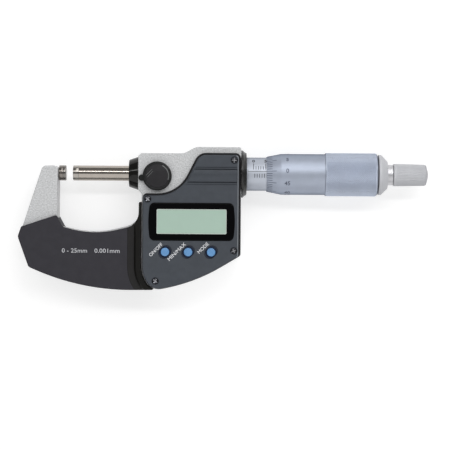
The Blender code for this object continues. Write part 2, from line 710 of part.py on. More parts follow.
def cavity_points(spread, bay):
    """Inside of the housing: the space under the cover, and the encoder's bay above it."""
    wall = HOUSING_WALL - spread
    top = LOWER_TOP_Y + spread
    lift = HOUSING_WALL * 1.15 - spread
    bay_corners = [
        (BLOCK_X, top, 0.0),
        (BLOCK_X, CHAMBER_TOP_Y, 0.0),
        (CHAMBER_X, CHAMBER_TOP_Y, 2.0 * MM),
        (CHAMBER_X, top, 0.0),
    ]
    return rounded([
        (HOUSING_RIGHT - wall, top, 0.6 * MM),
        *(bay_corners if bay else []),
        (HOUSING_LEFT + wall, top, 0.6 * MM),
        (HOUSING_LEFT + wall, HOUSING_SHOULDER_Y, HOUSING_SHOULDER_BEND - 2.0 * MM),
        (HOUSING_TOE_X + wall * 0.7, HOUSING_TOE_Y + lift * 1.1, HOUSING_TOE_BEND - 2.0 * MM),
        (HOUSING_BELLY_X, HOUSING_BELLY_Y + lift, HOUSING_BEND),
        (HOUSING_RIGHT - wall, HOUSING_SIDE_Y + wall * 0.7, 1.0 * MM),
    ])


def cavity_tool(name, low, spread, bay, post_radius):
    """The space to cut, with the screw posts left standing in it."""
    tool = plate(name, cavity_points(spread, bay), low, COVER_FRONT_Z)
    for number, (x, y) in enumerate(SCREW_PLACES, 1):
        if y > LOWER_TOP_Y + LEDGE_WIDTH + post_radius:
            continue
        post = rod(f"{name}_post_{number}", post_radius, REAR_Z - MM, COVER_FRONT_Z + MM,
                   TINY_STEPS, axis="Z", place=(x, y, 0.0))
        cut(tool, post)
    return tool


def make_frame():
    """One casting: arm, bow, spindle boss and the open tray behind the cover."""
    frame = plate("frame", rounded(housing_corners()), REAR_Z, RIM_Z, "hammered paint",
                  round_low=REAR_EDGE_ROUND, round_high=0.3 * MM)
    bow = plate("bow_form", rounded(frame_corners()), -FRAME_HALF_DEPTH, FRAME_HALF_DEPTH,
                round_low=FRAME_EDGE_ROUND, round_high=FRAME_EDGE_ROUND)
    combine(frame, bow, "UNION")
    cut(frame, cavity_tool("tray_space", FLOOR_Z, 0.0, True, POST_RADIUS))
    cut(frame, cavity_tool("board_space", LEDGE_Z, LEDGE_WIDTH, False, POST_RADIUS - POST_STEP))
    bore_end = CHAMBER_X + MM
    shank_hole = WIPER_SHANK_RADIUS + SEAT_GAP
    shank_end = BOSS_X + WIPER_SHANK_LENGTH + SEAT_GAP
    bore = [(BOSS_X - MM, 0.0), (BOSS_X - MM, shank_hole), (shank_end, shank_hole),
            (shank_end, BORE_RADIUS), (bore_end, BORE_RADIUS), (bore_end, 0.0)]
    cut(frame, turned("spindle_bore", bore, FINE_STEPS))
    cut(frame, rod("stem_bore", STEM_SHANK_RADIUS + SLIDE_FIT, BLOCK_X - MM, HOUSING_RIGHT + MM,
                   FINE_STEPS))
    anvil_end = ARM_FACE_X - ANVIL_DEPTH - SEAT_GAP
    cut(frame, rod("anvil_bore", ANVIL_SHANK_RADIUS + SLIDE_FIT, anvil_end, MM, SMALL_STEPS))
    cut(frame, rod("clamp_bore", CLAMP_SCREW_RADIUS + SLIDE_FIT, CLAMP_SHOE_LOW_Z - SEAT_GAP * 2.0,
                   RIM_Z + MM, SMALL_STEPS, axis="Z", place=(*CLAMP_CENTRE, 0.0)))
    cut(frame, rod("battery_hole", CAP_RADIUS + SEAT_GAP, REAR_Z - MM, FLOOR_Z + MM, MID_STEPS,
                   axis="Z", place=(*BATTERY_CENTRE, 0.0)))
    tip_z = COVER_FRONT_Z - SCREW_SINK - SCREW_HEAD_HEIGHT - SCREW_LENGTH
    for number, (x, y) in enumerate(SCREW_PLACES, 1):
        cut(frame, rod(f"screw_hole_{number}", SCREW_SHANK_RADIUS + SLIDE_FIT, tip_z - SEAT_GAP,
                       RIM_Z + MM, TINY_STEPS, axis="Z", place=(x, y, 0.0)))


def make_anvil():
    shank_end = ARM_FACE_X - ANVIL_DEPTH
    face_end = -ANVIL_TIP_LENGTH - SEAT_GAP
    seat = ARM_FACE_X + SEAT_GAP
    turned("anvil", [
        (shank_end, 0.0), (shank_end, ANVIL_SHANK_RADIUS), (seat, ANVIL_SHANK_RADIUS), (seat, FACE_RADIUS),
        (face_end, FACE_RADIUS), (face_end, 0.0),
    ], FINE_STEPS, "ground steel")
    turned("anvil_tip", [
        (-ANVIL_TIP_LENGTH, 0.0), (-ANVIL_TIP_LENGTH, FACE_RADIUS), (-TIP_BEVEL, FACE_RADIUS),
        (0.0, FACE_RADIUS - TIP_BEVEL), (0.0, 0.0),
    ], FINE_STEPS, "carbide")


def make_grip(name, side):
    """A moulded half grip: a plate on the bow, a skirt round it, a rising lip."""
    bm = plate_mesh(rounded(grip_corners()), SEAT_GAP / 2.0, GRIP_HALF_DEPTH, round_high=GRIP_EDGE_ROUND)
    ramp_start = HOUSING_LEFT - RAMP_LENGTH
    stations = [0.0, 0.06, 0.48, 0.6, 1.0]
    rises = [0.0, 0.1, 0.3, 0.9, 1.0]
    for share in stations:
        parts = bm.verts[:] + bm.edges[:] + bm.faces[:]
        bmesh.ops.bisect_plane(bm, geom=parts, dist=1e-7, plane_no=(1.0, 0.0, 0.0),
                               plane_co=(ramp_start + RAMP_LENGTH * share, 0.0, 0.0))
    for vert in bm.verts:
        share = min(max((vert.co.x - ramp_start) / RAMP_LENGTH, 0.0), 1.0)
        rise = 0.0
        for i in range(len(stations) - 1):
            if stations[i] <= share <= stations[i + 1]:
                part = (share - stations[i]) / (stations[i + 1] - stations[i])
                rise = rises[i] + (rises[i + 1] - rises[i]) * part
        if vert.co.z > FRAME_HALF_DEPTH:
            vert.co.z += rise * RAMP_HEIGHT
        vert.co.z *= side
    grip = add_object(name, bm, "grip plastic")
    pocket = inset_points(rounded(frame_corners()), -SEAT_GAP)
    reach = FRAME_HALF_DEPTH + SEAT_GAP
    cut(grip, plate(f"{name}_pocket", pocket, -reach, reach))
    beside = inset_points(rounded(housing_corners()), -SEAT_GAP)
    cut(grip, plate(f"{name}_end", beside, REAR_Z - 5.0 * MM, COVER_FRONT_Z + 5.0 * MM))


def make_gasket():
    outer = rounded(gasket_corners())
    gasket = plate("case_gasket", outer, GASKET_Z, GASKET_Z + GASKET_THICKNESS, "rubber")
    inner = rounded(offset_corners(gasket_corners(), GASKET_WIDTH))
    cut(gasket, plate("gasket_inside", inner, RIM_Z - MM, COVER_FRONT_Z))
    for number, (x, y) in enumerate(SCREW_PLACES, 1):
        cut(gasket, rod(f"gasket_hole_{number}", SCREW_SHANK_RADIUS + SEAT_GAP, RIM_Z - MM,
                        COVER_FRONT_Z, TINY_STEPS, axis="Z", place=(x, y, 0.0)))


def window_corners(spread=0.0):
    x, y = WINDOW_CENTRE
    half_width = WINDOW_HALF_WIDTH + spread
    half_height = WINDOW_HALF_HEIGHT + spread
    corner = WINDOW_CORNER + spread
    return [
        (x + half_width, y + half_height, corner),
        (x - half_width, y + half_height, corner),
        (x - half_width - WINDOW_BULGE, y, 40.0 * MM),
        (x - half_width, y - half_height, corner),
        (x + half_width, y - half_height, corner),
        (x + half_width + WINDOW_BULGE, y, 40.0 * MM),
    ]


def rectangle(centre, half_width, half_height, radius):
    x, y = centre
    return rounded([
        (x + half_width, y + half_height, radius),
        (x - half_width, y + half_height, radius),
        (x - half_width, y - half_height, radius),
        (x + half_width, y - half_height, radius),
    ])


def make_band(limit):
    """The rounded rise over the spindle, cut to the cover's own outline."""
    half = (BAND_HIGH_Y - BAND_LOW_Y) / 2.0
    middle = (BAND_HIGH_Y + BAND_LOW_Y) / 2.0
    steps = 6
    points = [(half, -BAND_SINK)]
    for k in range(steps + 1):
        share = 1.0 - 2.0 * k / steps
        points.append((half * share, BAND_RISE * (1.0 - share * share) ** 0.7 + 0.02 * MM))
    points.append((-half, -BAND_SINK))
    bm = bmesh.new()
    ends = []
    for x in (GASKET_WAIST_X - BAND_LEFT, HOUSING_RIGHT + MM):
        ends.append([bm.verts.new((x, middle + y, COVER_FRONT_Z + z)) for y, z in points])
    for i in range(len(points)):
        j = (i + 1) % len(points)
        bm.faces.new((ends[0][i], ends[0][j], ends[1][j], ends[1][i]))
    bm.faces.new(ends[0])
    bm.faces.new(ends[1])
    band = add_object("band_form", bm)
    combine(band, limit, "INTERSECT")
    return band


def make_cover():
    """The moulded front cover: plate, lip, raised band, window seat and key dishes."""
    corners = cover_corners()
    cover = plate("front_case", rounded(corners), COVER_BACK_Z, COVER_FRONT_Z, "cover plastic",
                  round_high=COVER_EDGE_ROUND)
    limit_points = rounded(offset_corners(corners, COVER_EDGE_ROUND * 1.2))
    limit = plate("band_limit", limit_points, COVER_BACK_Z - MM, COVER_FRONT_Z + 2.0 * MM)
    combine(cover, make_band(limit), "UNION")
    upper_y = BAND_HIGH_Y + 0.1 * MM
    lower_y = BAND_LOW_Y - GROOVE_WIDTH - 0.1 * MM
    for label, low_y in (("upper", upper_y), ("lower", lower_y)):
        groove = box(f"groove_{label}", (GASKET_WAIST_X - BAND_LEFT, low_y, COVER_FRONT_Z - GROOVE_DEPTH),
                     (HOUSING_RIGHT + MM, low_y + GROOVE_WIDTH, COVER_FRONT_Z + MM))
        combine(groove, limit, "INTERSECT")
        cut(cover, groove)
    pocket_points = rounded(offset_corners(corners, COVER_LIP))
    pocket = plate("cover_pocket", pocket_points, COVER_BACK_Z - MM, POCKET_Z)
    for number, (x, y) in enumerate(SCREW_PLACES, 1):
        cut(pocket, rod(f"cover_pad_{number}", POST_RADIUS, COVER_BACK_Z - 2.0 * MM, COVER_FRONT_Z,
                        TINY_STEPS, axis="Z", place=(x, y, 0.0)))
    cut(cover, pocket)
    seat_z = COVER_FRONT_Z + WINDOW_PROUD - WINDOW_THICKNESS - SEAT_GAP
    cut(cover, plate("window_seat", rounded(window_corners(SEAT_GAP * 0.75)), seat_z, COVER_FRONT_Z + MM))
    half_width = WINDOW_HALF_WIDTH - WINDOW_LEDGE
    half_height = WINDOW_HALF_HEIGHT - WINDOW_LEDGE
    cut(cover, plate("window_opening", rectangle(WINDOW_CENTRE, half_width, half_height, 0.5 * MM),
                     COVER_BACK_Z - MM, COVER_FRONT_Z + MM))
    for name, x in zip(KEY_NAMES, KEY_X):
        half_width = KEY_DISH_WIDTH / 2.0
        dish = rectangle((0.0, 0.0), KEY_DISH_LENGTH / 2.0, half_width, half_width - 0.01 * MM)
        dish_tool = plate(f"{name}_dish", dish, COVER_FRONT_Z - KEY_DISH_DEPTH, COVER_FRONT_Z + MM)
        dish_tool.location = (x, KEY_Y, 0.0)
        dish_tool.rotation_euler.z = math.radians(45.0)
        hole = rod(f"{name}_hole", KEY_RADIUS + KEY_PLAY, COVER_BACK_Z - MM, COVER_FRONT_Z + MM,
                   SMALL_STEPS, axis="Z", place=(x, KEY_Y, 0.0))
        cut(cover, dish_tool, hole)
    head_z = COVER_FRONT_Z - SCREW_SINK - SCREW_HEAD_HEIGHT - SEAT_GAP
    for number, (x, y) in enumerate(SCREW_PLACES, 1):
        profile = [
            (COVER_BACK_Z - MM, 0.0), (COVER_BACK_Z - MM, SCREW_SHANK_RADIUS + SLIDE_FIT),
            (head_z, SCREW_SHANK_RADIUS + SLIDE_FIT), (head_z, SCREW_HEAD_RADIUS + SLIDE_FIT),
            (COVER_FRONT_Z + MM, SCREW_HEAD_RADIUS + SLIDE_FIT), (COVER_FRONT_Z + MM, 0.0),
        ]
        cut(cover, turned(f"counterbore_{number}", profile, TINY_STEPS, axis="Z", place=(x, y, 0.0)))


def make_display():
    top = COVER_FRONT_Z + WINDOW_PROUD
    plate("display_window", rounded(window_corners()), top - WINDOW_THICKNESS, top, "clear plastic",
          round_high=0.25 * MM)
    half_width = WINDOW_HALF_WIDTH - GLASS_MARGIN
    half_height = WINDOW_HALF_HEIGHT - GLASS_MARGIN
    plate("lcd_panel", rectangle(WINDOW_CENTRE, half_width, half_height, 0.3 * MM),
          GLASS_Z, GLASS_Z + GLASS_THICKNESS, "display glass")
    board = plate("circuit_board", inset_points(cavity_points(LEDGE_WIDTH, False), SEAT_GAP), BOARD_Z,
                  BOARD_Z + BOARD_THICKNESS, "circuit board")
    for number, (x, y) in enumerate(SCREW_PLACES, 1):
        cut(board, rod(f"board_notch_{number}", POST_RADIUS + SEAT_GAP, LEDGE_Z - MM, RIM_Z + MM,
                       TINY_STEPS, axis="Z", place=(x, y, 0.0)))


def make_keys():
    span = (KEY_X[-1] - KEY_X[0]) / 2.0 + MAT_MARGIN
    middle = ((KEY_X[0] + KEY_X[-1]) / 2.0, KEY_Y)
    plate("keypad_mat", rectangle(middle, span, MAT_MARGIN - 0.6 * MM, MM), MAT_Z,
          MAT_Z + MAT_THICKNESS, "rubber")
    flange_top = POCKET_Z - SEAT_GAP
    flange_low = flange_top - KEY_FLANGE_THICKNESS
    height = COVER_FRONT_Z + KEY_PROUD - flange_low
    for name, x in zip(KEY_NAMES, KEY_X):
        profile = [
            (0.0, 0.0), (0.0, KEY_RADIUS + KEY_FLANGE),
            (KEY_FLANGE_THICKNESS, KEY_RADIUS + KEY_FLANGE), (KEY_FLANGE_THICKNESS, KEY_RADIUS),
            (height - 0.3 * MM, KEY_RADIUS), (height - 0.1 * MM, KEY_RADIUS - 0.15 * MM),
            (height, KEY_RADIUS - 0.5 * MM), (height, 0.0),
        ]
        turned(name, profile, SMALL_STEPS, "key plastic", "Z", (x, KEY_Y, flange_low))


def make_case_screws():
    head = SCREW_HEAD_HEIGHT
    profile = [
        (-SCREW_LENGTH, 0.0), (-SCREW_LENGTH, SCREW_SHANK_RADIUS), (0.0, SCREW_SHANK_RADIUS),
        (0.0, SCREW_HEAD_RADIUS), (head - 0.25 * MM, SCREW_HEAD_RADIUS),
        (head, SCREW_HEAD_RADIUS - 0.4 * MM), (head, 0.0),
    ]
    for number, (x, y) in enumerate(SCREW_PLACES, 1):
        place = (x, y, COVER_FRONT_Z - SCREW_SINK - head)
        screw = turned(f"case_screw_{number}", profile, TINY_STEPS, "dark steel", "Z", place)
        recess = plate(f"screw_{number}_recess", cross_points(SCREW_HEAD_RADIUS * 0.62, SCREW_SLOT / 2.0),
                       head - SCREW_RECESS_DEPTH, head + MM)
        recess.location = place
        recess.rotation_euler.z = math.radians(45.0)
        cut(screw, recess)


def cross_points(reach, half):
    """Outline of a plus sign, one arm at a time."""
    points = []
    for quarter in range(4):
        angle = math.pi / 2.0 * quarter
        for x, y in ((half, half), (half, reach), (-half, reach)):
            across = x * math.cos(angle) - y * math.sin(angle)
            up = x * math.sin(angle) + y * math.cos(angle)
            points.append((across, up))
    return points


def make_battery():
    x, y = BATTERY_CENTRE
    place = (x, y, 0.0)
    cap_low = REAR_Z + CAP_SINK
    cap_high = cap_low + CAP_THICKNESS
    ring_z = cap_low + CAP_THICKNESS * 0.55
    groove = RING_WIRE * 1.15
    ring_radius = CAP_RADIUS + SEAT_GAP / 4.0 - RING_WIRE
    groove_radius = ring_radius - RING_WIRE - SEAT_GAP / 4.0
    profile = [
        (cap_low, 0.0), (cap_low, CAP_RADIUS - 0.2 * MM), (cap_low + 0.2 * MM, CAP_RADIUS),
        (ring_z - groove, CAP_RADIUS), (ring_z - groove, groove_radius), (ring_z + groove, groove_radius),
        (ring_z + groove, CAP_RADIUS), (cap_high, CAP_RADIUS), (cap_high, 0.0),
    ]
    cap = turned("battery_cap", profile, MID_STEPS, "black plastic", "Z", place)
    reach = CAP_RADIUS * 0.7
    cut(cap, box("coin_slot", (-reach, -CAP_SLOT_WIDTH / 2.0, cap_low - MM),
                 (reach, CAP_SLOT_WIDTH / 2.0, cap_low + CAP_SLOT_DEPTH), place=place))
    wire = wire_section(ring_z, ring_radius, RING_WIRE)
    turned("battery_cap_oring", wire, MID_STEPS, "rubber", "Z", place)
    cell_low = cap_high + SEAT_GAP
    cell_high = cell_low + BATTERY_HEIGHT
    turned("battery", [
        (cell_low, 0.0), (cell_low, BATTERY_RADIUS - 0.3 * MM), (cell_low + 0.3 * MM, BATTERY_RADIUS),
        (cell_high - 0.8 * MM, BATTERY_RADIUS), (cell_high - 0.5 * MM, BATTERY_RADIUS - 0.7 * MM),
        (cell_high, BATTERY_RADIUS - 0.8 * MM), (cell_high, 0.0),
    ], SMALL_STEPS, "ground steel", "Z", place)
    pocket = BATTERY_RADIUS + SEAT_GAP
    low = FLOOR_Z + SEAT_GAP
    roof_low = cell_high + SEAT_GAP
    roof_high = roof_low + HOLDER_ROOF
    top = BOARD_Z - SEAT_GAP
    wire_hole = CONTACT_COIL + CONTACT_WIRE + SEAT_GAP
    tower = wire_hole + HOLDER_WALL
    holder = turned("battery_holder", [
        (low, pocket), (low, pocket + HOLDER_WALL), (roof_high, pocket + HOLDER_WALL), (roof_high, tower),
        (top, tower), (top, wire_hole), (roof_low, wire_hole), (roof_low, pocket),
    ], MID_STEPS, "black plastic", "Z", place)
    half = STRIP_WIDTH / 2.0
    inner = pocket + SEAT_GAP / 2.0
    outer = inner + STRIP_THICKNESS
    cut(holder, box("strip_slot", (pocket - SEAT_GAP * 2.0, -half - SEAT_GAP, low - MM),
                    (outer + SEAT_GAP, half + SEAT_GAP, top + MM), place=place))
    box("battery_side_contact", (inner, -half, low + 0.4 * MM), (outer, half, top), "brass", place)
    coil("battery_spring", CONTACT_COIL, CONTACT_WIRE, CONTACT_TURNS, cell_high + SEAT_GAP, top,
         "brass", "Z", place)


def make_wiper():
    """The cone that wipes the spindle where it enters the frame, and its seal."""
    face = BOSS_X - SEAT_GAP / 2.0
    nose = face - WIPER_LENGTH
    seal_x = nose + WIPER_LENGTH * 0.5
    seal_space = SEAL_RADIUS + SEAT_GAP / 2.0
    seal_outer = BORE_RADIUS + 2.0 * seal_space
    turned("spindle_wiper", [
        (nose, BORE_RADIUS), (nose, WIPER_NOSE_RADIUS - 0.3 * MM), (nose + 0.3 * MM, WIPER_NOSE_RADIUS),
        (face - 0.3 * MM, WIPER_BASE_RADIUS), (face, WIPER_BASE_RADIUS), (face, WIPER_SHANK_RADIUS),
        (BOSS_X + WIPER_SHANK_LENGTH, WIPER_SHANK_RADIUS), (BOSS_X + WIPER_SHANK_LENGTH, BORE_RADIUS),
        (seal_x + seal_space, BORE_RADIUS), (seal_x + seal_space, seal_outer),
        (seal_x - seal_space, seal_outer), (seal_x - seal_space, BORE_RADIUS),
    ], MID_STEPS, "black plastic")
    wire = wire_section(seal_x, BORE_RADIUS + seal_space, SEAL_RADIUS)
    turned("wiper_seal", wire, MID_STEPS, "rubber")


def make_clamp():
    """A knob with a finger nub turns a screw that presses a shoe on the spindle."""
    x, y = CLAMP_CENTRE
    low = RIM_Z + SEAT_GAP
    place = (x, y, low)
    top = CLAMP_HEIGHT
    screw_top = CLAMP_HEIGHT * 0.6
    knob = turned("clamp_knob", [
        (0.0, 0.0), (0.0, CLAMP_RADIUS - 0.3 * MM), (0.3 * MM, CLAMP_RADIUS), (top * 0.5, CLAMP_RADIUS),
        (top * 0.78, CLAMP_RADIUS - 0.35 * MM), (top * 0.8, CLAMP_RADIUS - 0.8 * MM),
        (top * 0.93, CLAMP_RADIUS - 1.6 * MM), (top, CLAMP_RADIUS * 0.45), (top, 0.0),
    ], FINE_STEPS, "black plastic", "Z", place)
    neck = CLAMP_NUB_RADIUS
    nub_top = top * 0.62
    nub = plate("nub_form", rounded([
        (0.0, neck, 0.0), (-CLAMP_NUB_REACH - neck, neck, neck * 0.99),
        (-CLAMP_NUB_REACH - neck, -neck, neck * 0.99), (0.0, -neck, 0.0),
    ]), CLAMP_NUB_LOW, nub_top, round_high=0.4 * MM, round_low=0.2 * MM)
    nub.location = place
    nub.rotation_euler.z = math.radians(6.5)
    combine(knob, nub, "UNION")
    shoe_top = CLAMP_SHOE_LOW_Z + CLAMP_SHOE_HEIGHT
    screw_low = shoe_top + SEAT_GAP - low
    cut(knob, rod("knob_socket", CLAMP_SCREW_RADIUS + SLIDE_FIT, -MM, screw_top + SEAT_GAP, SMALL_STEPS,
                  axis="Z", place=place))
    rod("clamp_screw", CLAMP_SCREW_RADIUS, screw_low, screw_top, SMALL_STEPS, "ground steel", "Z", place)
    shoe = rod("clamp_shoe", CLAMP_SCREW_RADIUS - SLIDE_FIT, CLAMP_SHOE_LOW_Z, shoe_top, SMALL_STEPS,
               "brass", "Z", (x, y, 0.0))
    cut(shoe, rod("shoe_saddle", BORE_RADIUS, x - 4.0 * MM, x + 4.0 * MM, FINE_STEPS))


def make_encoder():
    """Rotor disc on a keyed bush, turned by the spindle, facing a fixed stator."""
    bush_x = CHAMBER_X + SEAT_GAP
    step_x = bush_x + BUSH_LENGTH
    nose_x = step_x + BUSH_NOSE_LENGTH
    bush = turned("rotor_bush", [
        (bush_x, BORE_RADIUS), (bush_x, BUSH_RADIUS), (step_x, BUSH_RADIUS), (step_x, BUSH_NOSE_RADIUS),
        (nose_x, BUSH_NOSE_RADIUS), (nose_x, BORE_RADIUS),
    ], MID_STEPS, "brass")
    key_x = bush_x + BUSH_LENGTH / 2.0
    cut(bush, rod("pin_hole", KEY_PIN_RADIUS + SLIDE_FIT, 0.0, ROTOR_RADIUS, TINY_STEPS, axis="Z",
                  place=(key_x, 0.0, 0.0)))
    pin_low = FACE_RADIUS - KEYWAY_DEPTH + SEAT_GAP
    rod("rotor_key", KEY_PIN_RADIUS, pin_low, BUSH_RADIUS - SEAT_GAP, TINY_STEPS, "ground steel", "Z",
        (key_x, 0.0, 0.0))
    disc_x = step_x + SEAT_GAP / 2.0
    turned("encoder_rotor", [
        (disc_x, BUSH_NOSE_RADIUS + SLIDE_FIT), (disc_x, ROTOR_RADIUS),
        (disc_x + ROTOR_THICKNESS, ROTOR_RADIUS), (disc_x + ROTOR_THICKNESS, BUSH_NOSE_RADIUS + SLIDE_FIT),
    ], MID_STEPS, "circuit board")
    outline = rounded([
        (ROTOR_RADIUS + SEAT_GAP, ROTOR_RADIUS, MM), (-ROTOR_RADIUS - 2.0 * MM, ROTOR_RADIUS, MM),
        (-ROTOR_RADIUS - 2.0 * MM, -ROTOR_RADIUS, MM), (ROTOR_RADIUS + SEAT_GAP, -ROTOR_RADIUS, MM),
    ])
    bm = plate_mesh(outline, BLOCK_X - SEAT_GAP - STATOR_THICKNESS, BLOCK_X - SEAT_GAP)
    for vert in bm.verts:
        vert.co = Vector((vert.co.z, vert.co.x, vert.co.y))
    stator = add_object("encoder_stator", bm, "circuit board")
    cut(stator, rod("stator_bore", STATOR_BORE, CHAMBER_X, HOUSING_RIGHT, MID_STEPS))


def make_stem():
    """The fixed barrel: guide bore, slotted nut end, adjusting ring and sleeve."""
    start = BLOCK_X + SEAT_GAP
    flange = HOUSING_RIGHT + SEAT_GAP
    guide_end = HOUSING_RIGHT + STEM_GUIDE_LENGTH
    nut_bore = SPINDLE_THREAD_RADIUS + SLIDE_FIT
    wide_bore = nut_bore + 0.3 * MM
    stem = turned("stem", [
        (start, BORE_RADIUS), (start, STEM_SHANK_RADIUS), (flange, STEM_SHANK_RADIUS),
        (flange, STEM_RADIUS), (NUT_X, STEM_RADIUS), (NUT_X, STEM_NUT_RADIUS),
        (STEM_END_X, STEM_NUT_RADIUS), (STEM_END_X, nut_bore), (NUT_X, nut_bore), (NUT_X, wide_bore),
        (guide_end, wide_bore), (guide_end, BORE_RADIUS),
    ], FINE_STEPS, "ground steel")
    for number in range(STEM_SLOTS):
        slot = box(f"stem_slot_{number}", (NUT_X + MM, -STEM_SLOT_WIDTH / 2.0, 0.0),
                   (STEM_END_X + MM, STEM_SLOT_WIDTH / 2.0, STEM_RADIUS + MM))
        slot.rotation_euler.x = 2.0 * math.pi * number / STEM_SLOTS
        cut(stem, slot)
    ring_x = NUT_X + STEM_NUT_LENGTH * 0.4
    bore = STEM_NUT_RADIUS + SLIDE_FIT
    turned("adjusting_nut", [
        (ring_x, bore), (ring_x, STEM_RADIUS), (ring_x + NUT_RING_LENGTH, STEM_RADIUS),
        (ring_x + NUT_RING_LENGTH, bore),
    ], MID_STEPS, "brass")
    collar_x = HOUSING_RIGHT + SEAT_GAP
    collar_end = collar_x + COLLAR_LENGTH
    turned("sleeve_collar", [
        (collar_x, SLEEVE_INNER), (collar_x, COLLAR_RADIUS), (collar_x + 0.8 * MM, COLLAR_RADIUS),
        (collar_end, COLLAR_NOSE_RADIUS), (collar_end, SLEEVE_INNER),
    ], FINE_STEPS, "black plastic")
    sleeve_x = collar_end + SEAT_GAP
    sleeve_end = STEM_END_X - SLEEVE_END_GAP
    turned("sleeve", [
        (sleeve_x, SLEEVE_INNER), (sleeve_x, SLEEVE_RADIUS), (sleeve_end, SLEEVE_RADIUS),
        (sleeve_end, SLEEVE_INNER),
    ], FINE_STEPS, "satin chrome")


def make_spindle(axis_point):
    """The ground spindle with its keyway, thread, cone seat and hard tip."""
    relief = FACE_RADIUS - SPINDLE_RELIEF
    hole_x = SPINDLE_END_X - DRAW_HOLE_DEPTH
    spindle = turned("spindle", [
        (SPINDLE_X, 0.0), (SPINDLE_X, FACE_RADIUS), (GROUND_END_X, FACE_RADIUS),
        (GROUND_END_X + 0.3 * MM, relief), (THREAD_X - 0.3 * MM, relief), (THREAD_X, SPINDLE_THREAD_RADIUS),
        (CONE_X, SPINDLE_THREAD_RADIUS), (SPINDLE_END_X, SPINDLE_CONE_END),
        (SPINDLE_END_X, DRAW_HOLE_RADIUS), (hole_x, DRAW_HOLE_RADIUS), (hole_x, 0.0),
    ], FINE_STEPS, "ground steel")
    key_x = CHAMBER_X + SEAT_GAP + BUSH_LENGTH / 2.0
    keyway_low = (key_x - SPINDLE_TRAVEL_OUT - MM, -KEYWAY_WIDTH / 2.0, FACE_RADIUS - KEYWAY_DEPTH)
    keyway_high = (key_x + SPINDLE_TRAVEL_IN + MM, KEYWAY_WIDTH / 2.0, FACE_RADIUS + MM)
    keyway = box("keyway", keyway_low, keyway_high)
    cut(spindle, keyway)
    tip_end = SPINDLE_X - SEAT_GAP
    tip = turned("spindle_tip", [
        (REST_OPENING, 0.0), (REST_OPENING, FACE_RADIUS - TIP_BEVEL),
        (REST_OPENING + TIP_BEVEL, FACE_RADIUS), (tip_end, FACE_RADIUS), (tip_end, 0.0),
    ], FINE_STEPS, "carbide")
    for piece in (spindle, tip):
        piece.parent = axis_point


def make_thimble(axis_point):
    """Bevelled, graduated edge, plain barrel and knurled grip in one shell."""
    edge = THIMBLE_EDGE_X
    bevel_end = edge + THIMBLE_BEVEL_LENGTH
    knurl_x = edge + THIMBLE_PLAIN_LENGTH
    slope = (SPINDLE_THREAD_RADIUS - SPINDLE_CONE_END) / SPINDLE_CONE_LENGTH
    hole_at_wall = SPINDLE_THREAD_RADIUS + SEAT_GAP
    hole_at_end = hole_at_wall - slope * (THIMBLE_END_X - CONE_X)
    thimble = turned("thimble", [
        (edge, THIMBLE_BORE), (edge, THIMBLE_BORE + THIMBLE_EDGE_WALL), (bevel_end, THIMBLE_RADIUS),
        (knurl_x, THIMBLE_RADIUS), (knurl_x + 0.25 * MM, KNURL_RADIUS),
        (THIMBLE_END_X - THIMBLE_CHAMFER, KNURL_RADIUS), (THIMBLE_END_X, KNURL_RADIUS - THIMBLE_CHAMFER),
        (THIMBLE_END_X, hole_at_end), (CONE_X, hole_at_wall), (THIMBLE_WALL_X, hole_at_wall),
        (THIMBLE_WALL_X, THIMBLE_BORE),
    ], FINE_STEPS, "satin chrome")
    thimble.parent = axis_point


def make_hub(axis_point):
    """Screwed into the spindle's end, it holds the thimble and carries the ratchet."""
    stub_x = SPINDLE_END_X - DRAW_HOLE_DEPTH + SEAT_GAP
    cone_x = FLANGE_X + HUB_FLANGE_LENGTH
    shaft_end = SHAFT_X + HUB_SHAFT_LENGTH
    screw_hole = RATCHET_SCREW_SHANK + SLIDE_FIT
    hub = turned("ratchet_hub", [
        (stub_x, 0.0), (stub_x, DRAW_HOLE_RADIUS - SLIDE_FIT), (HUB_X, DRAW_HOLE_RADIUS - SLIDE_FIT),
        (HUB_X, HUB_BOSS_RADIUS), (FLANGE_X, HUB_BOSS_RADIUS), (FLANGE_X, HUB_FLANGE_RADIUS),
        (cone_x, HUB_FLANGE_RADIUS), (NECK_X, HUB_CONE_RADIUS), (NECK_X, HUB_NECK_RADIUS),
        (SHAFT_X, HUB_NECK_RADIUS), (SHAFT_X, HUB_SHAFT_RADIUS), (shaft_end, HUB_SHAFT_RADIUS),
        (shaft_end, screw_hole), (shaft_end - 5.0 * MM, screw_hole), (shaft_end - 5.0 * MM, 0.0),
    ], MID_STEPS, "ratchet plastic")
    flat_z = HUB_SHAFT_RADIUS - HUB_FLAT
    cut(hub, box("shaft_flat", (TEETH_X + CLICK_TOOTH_HEIGHT, -3.0 * MM, flat_z),
                 (shaft_end + MM, 3.0 * MM, flat_z + 2.0 * MM)))
    hub.parent = axis_point
    return shaft_end, flat_z


def saw(step):
    """Height of a saw tooth at one of the steps round a ring, from 0 to 1."""
    return (step % CLICK_STEPS) / (CLICK_STEPS - 1.0)


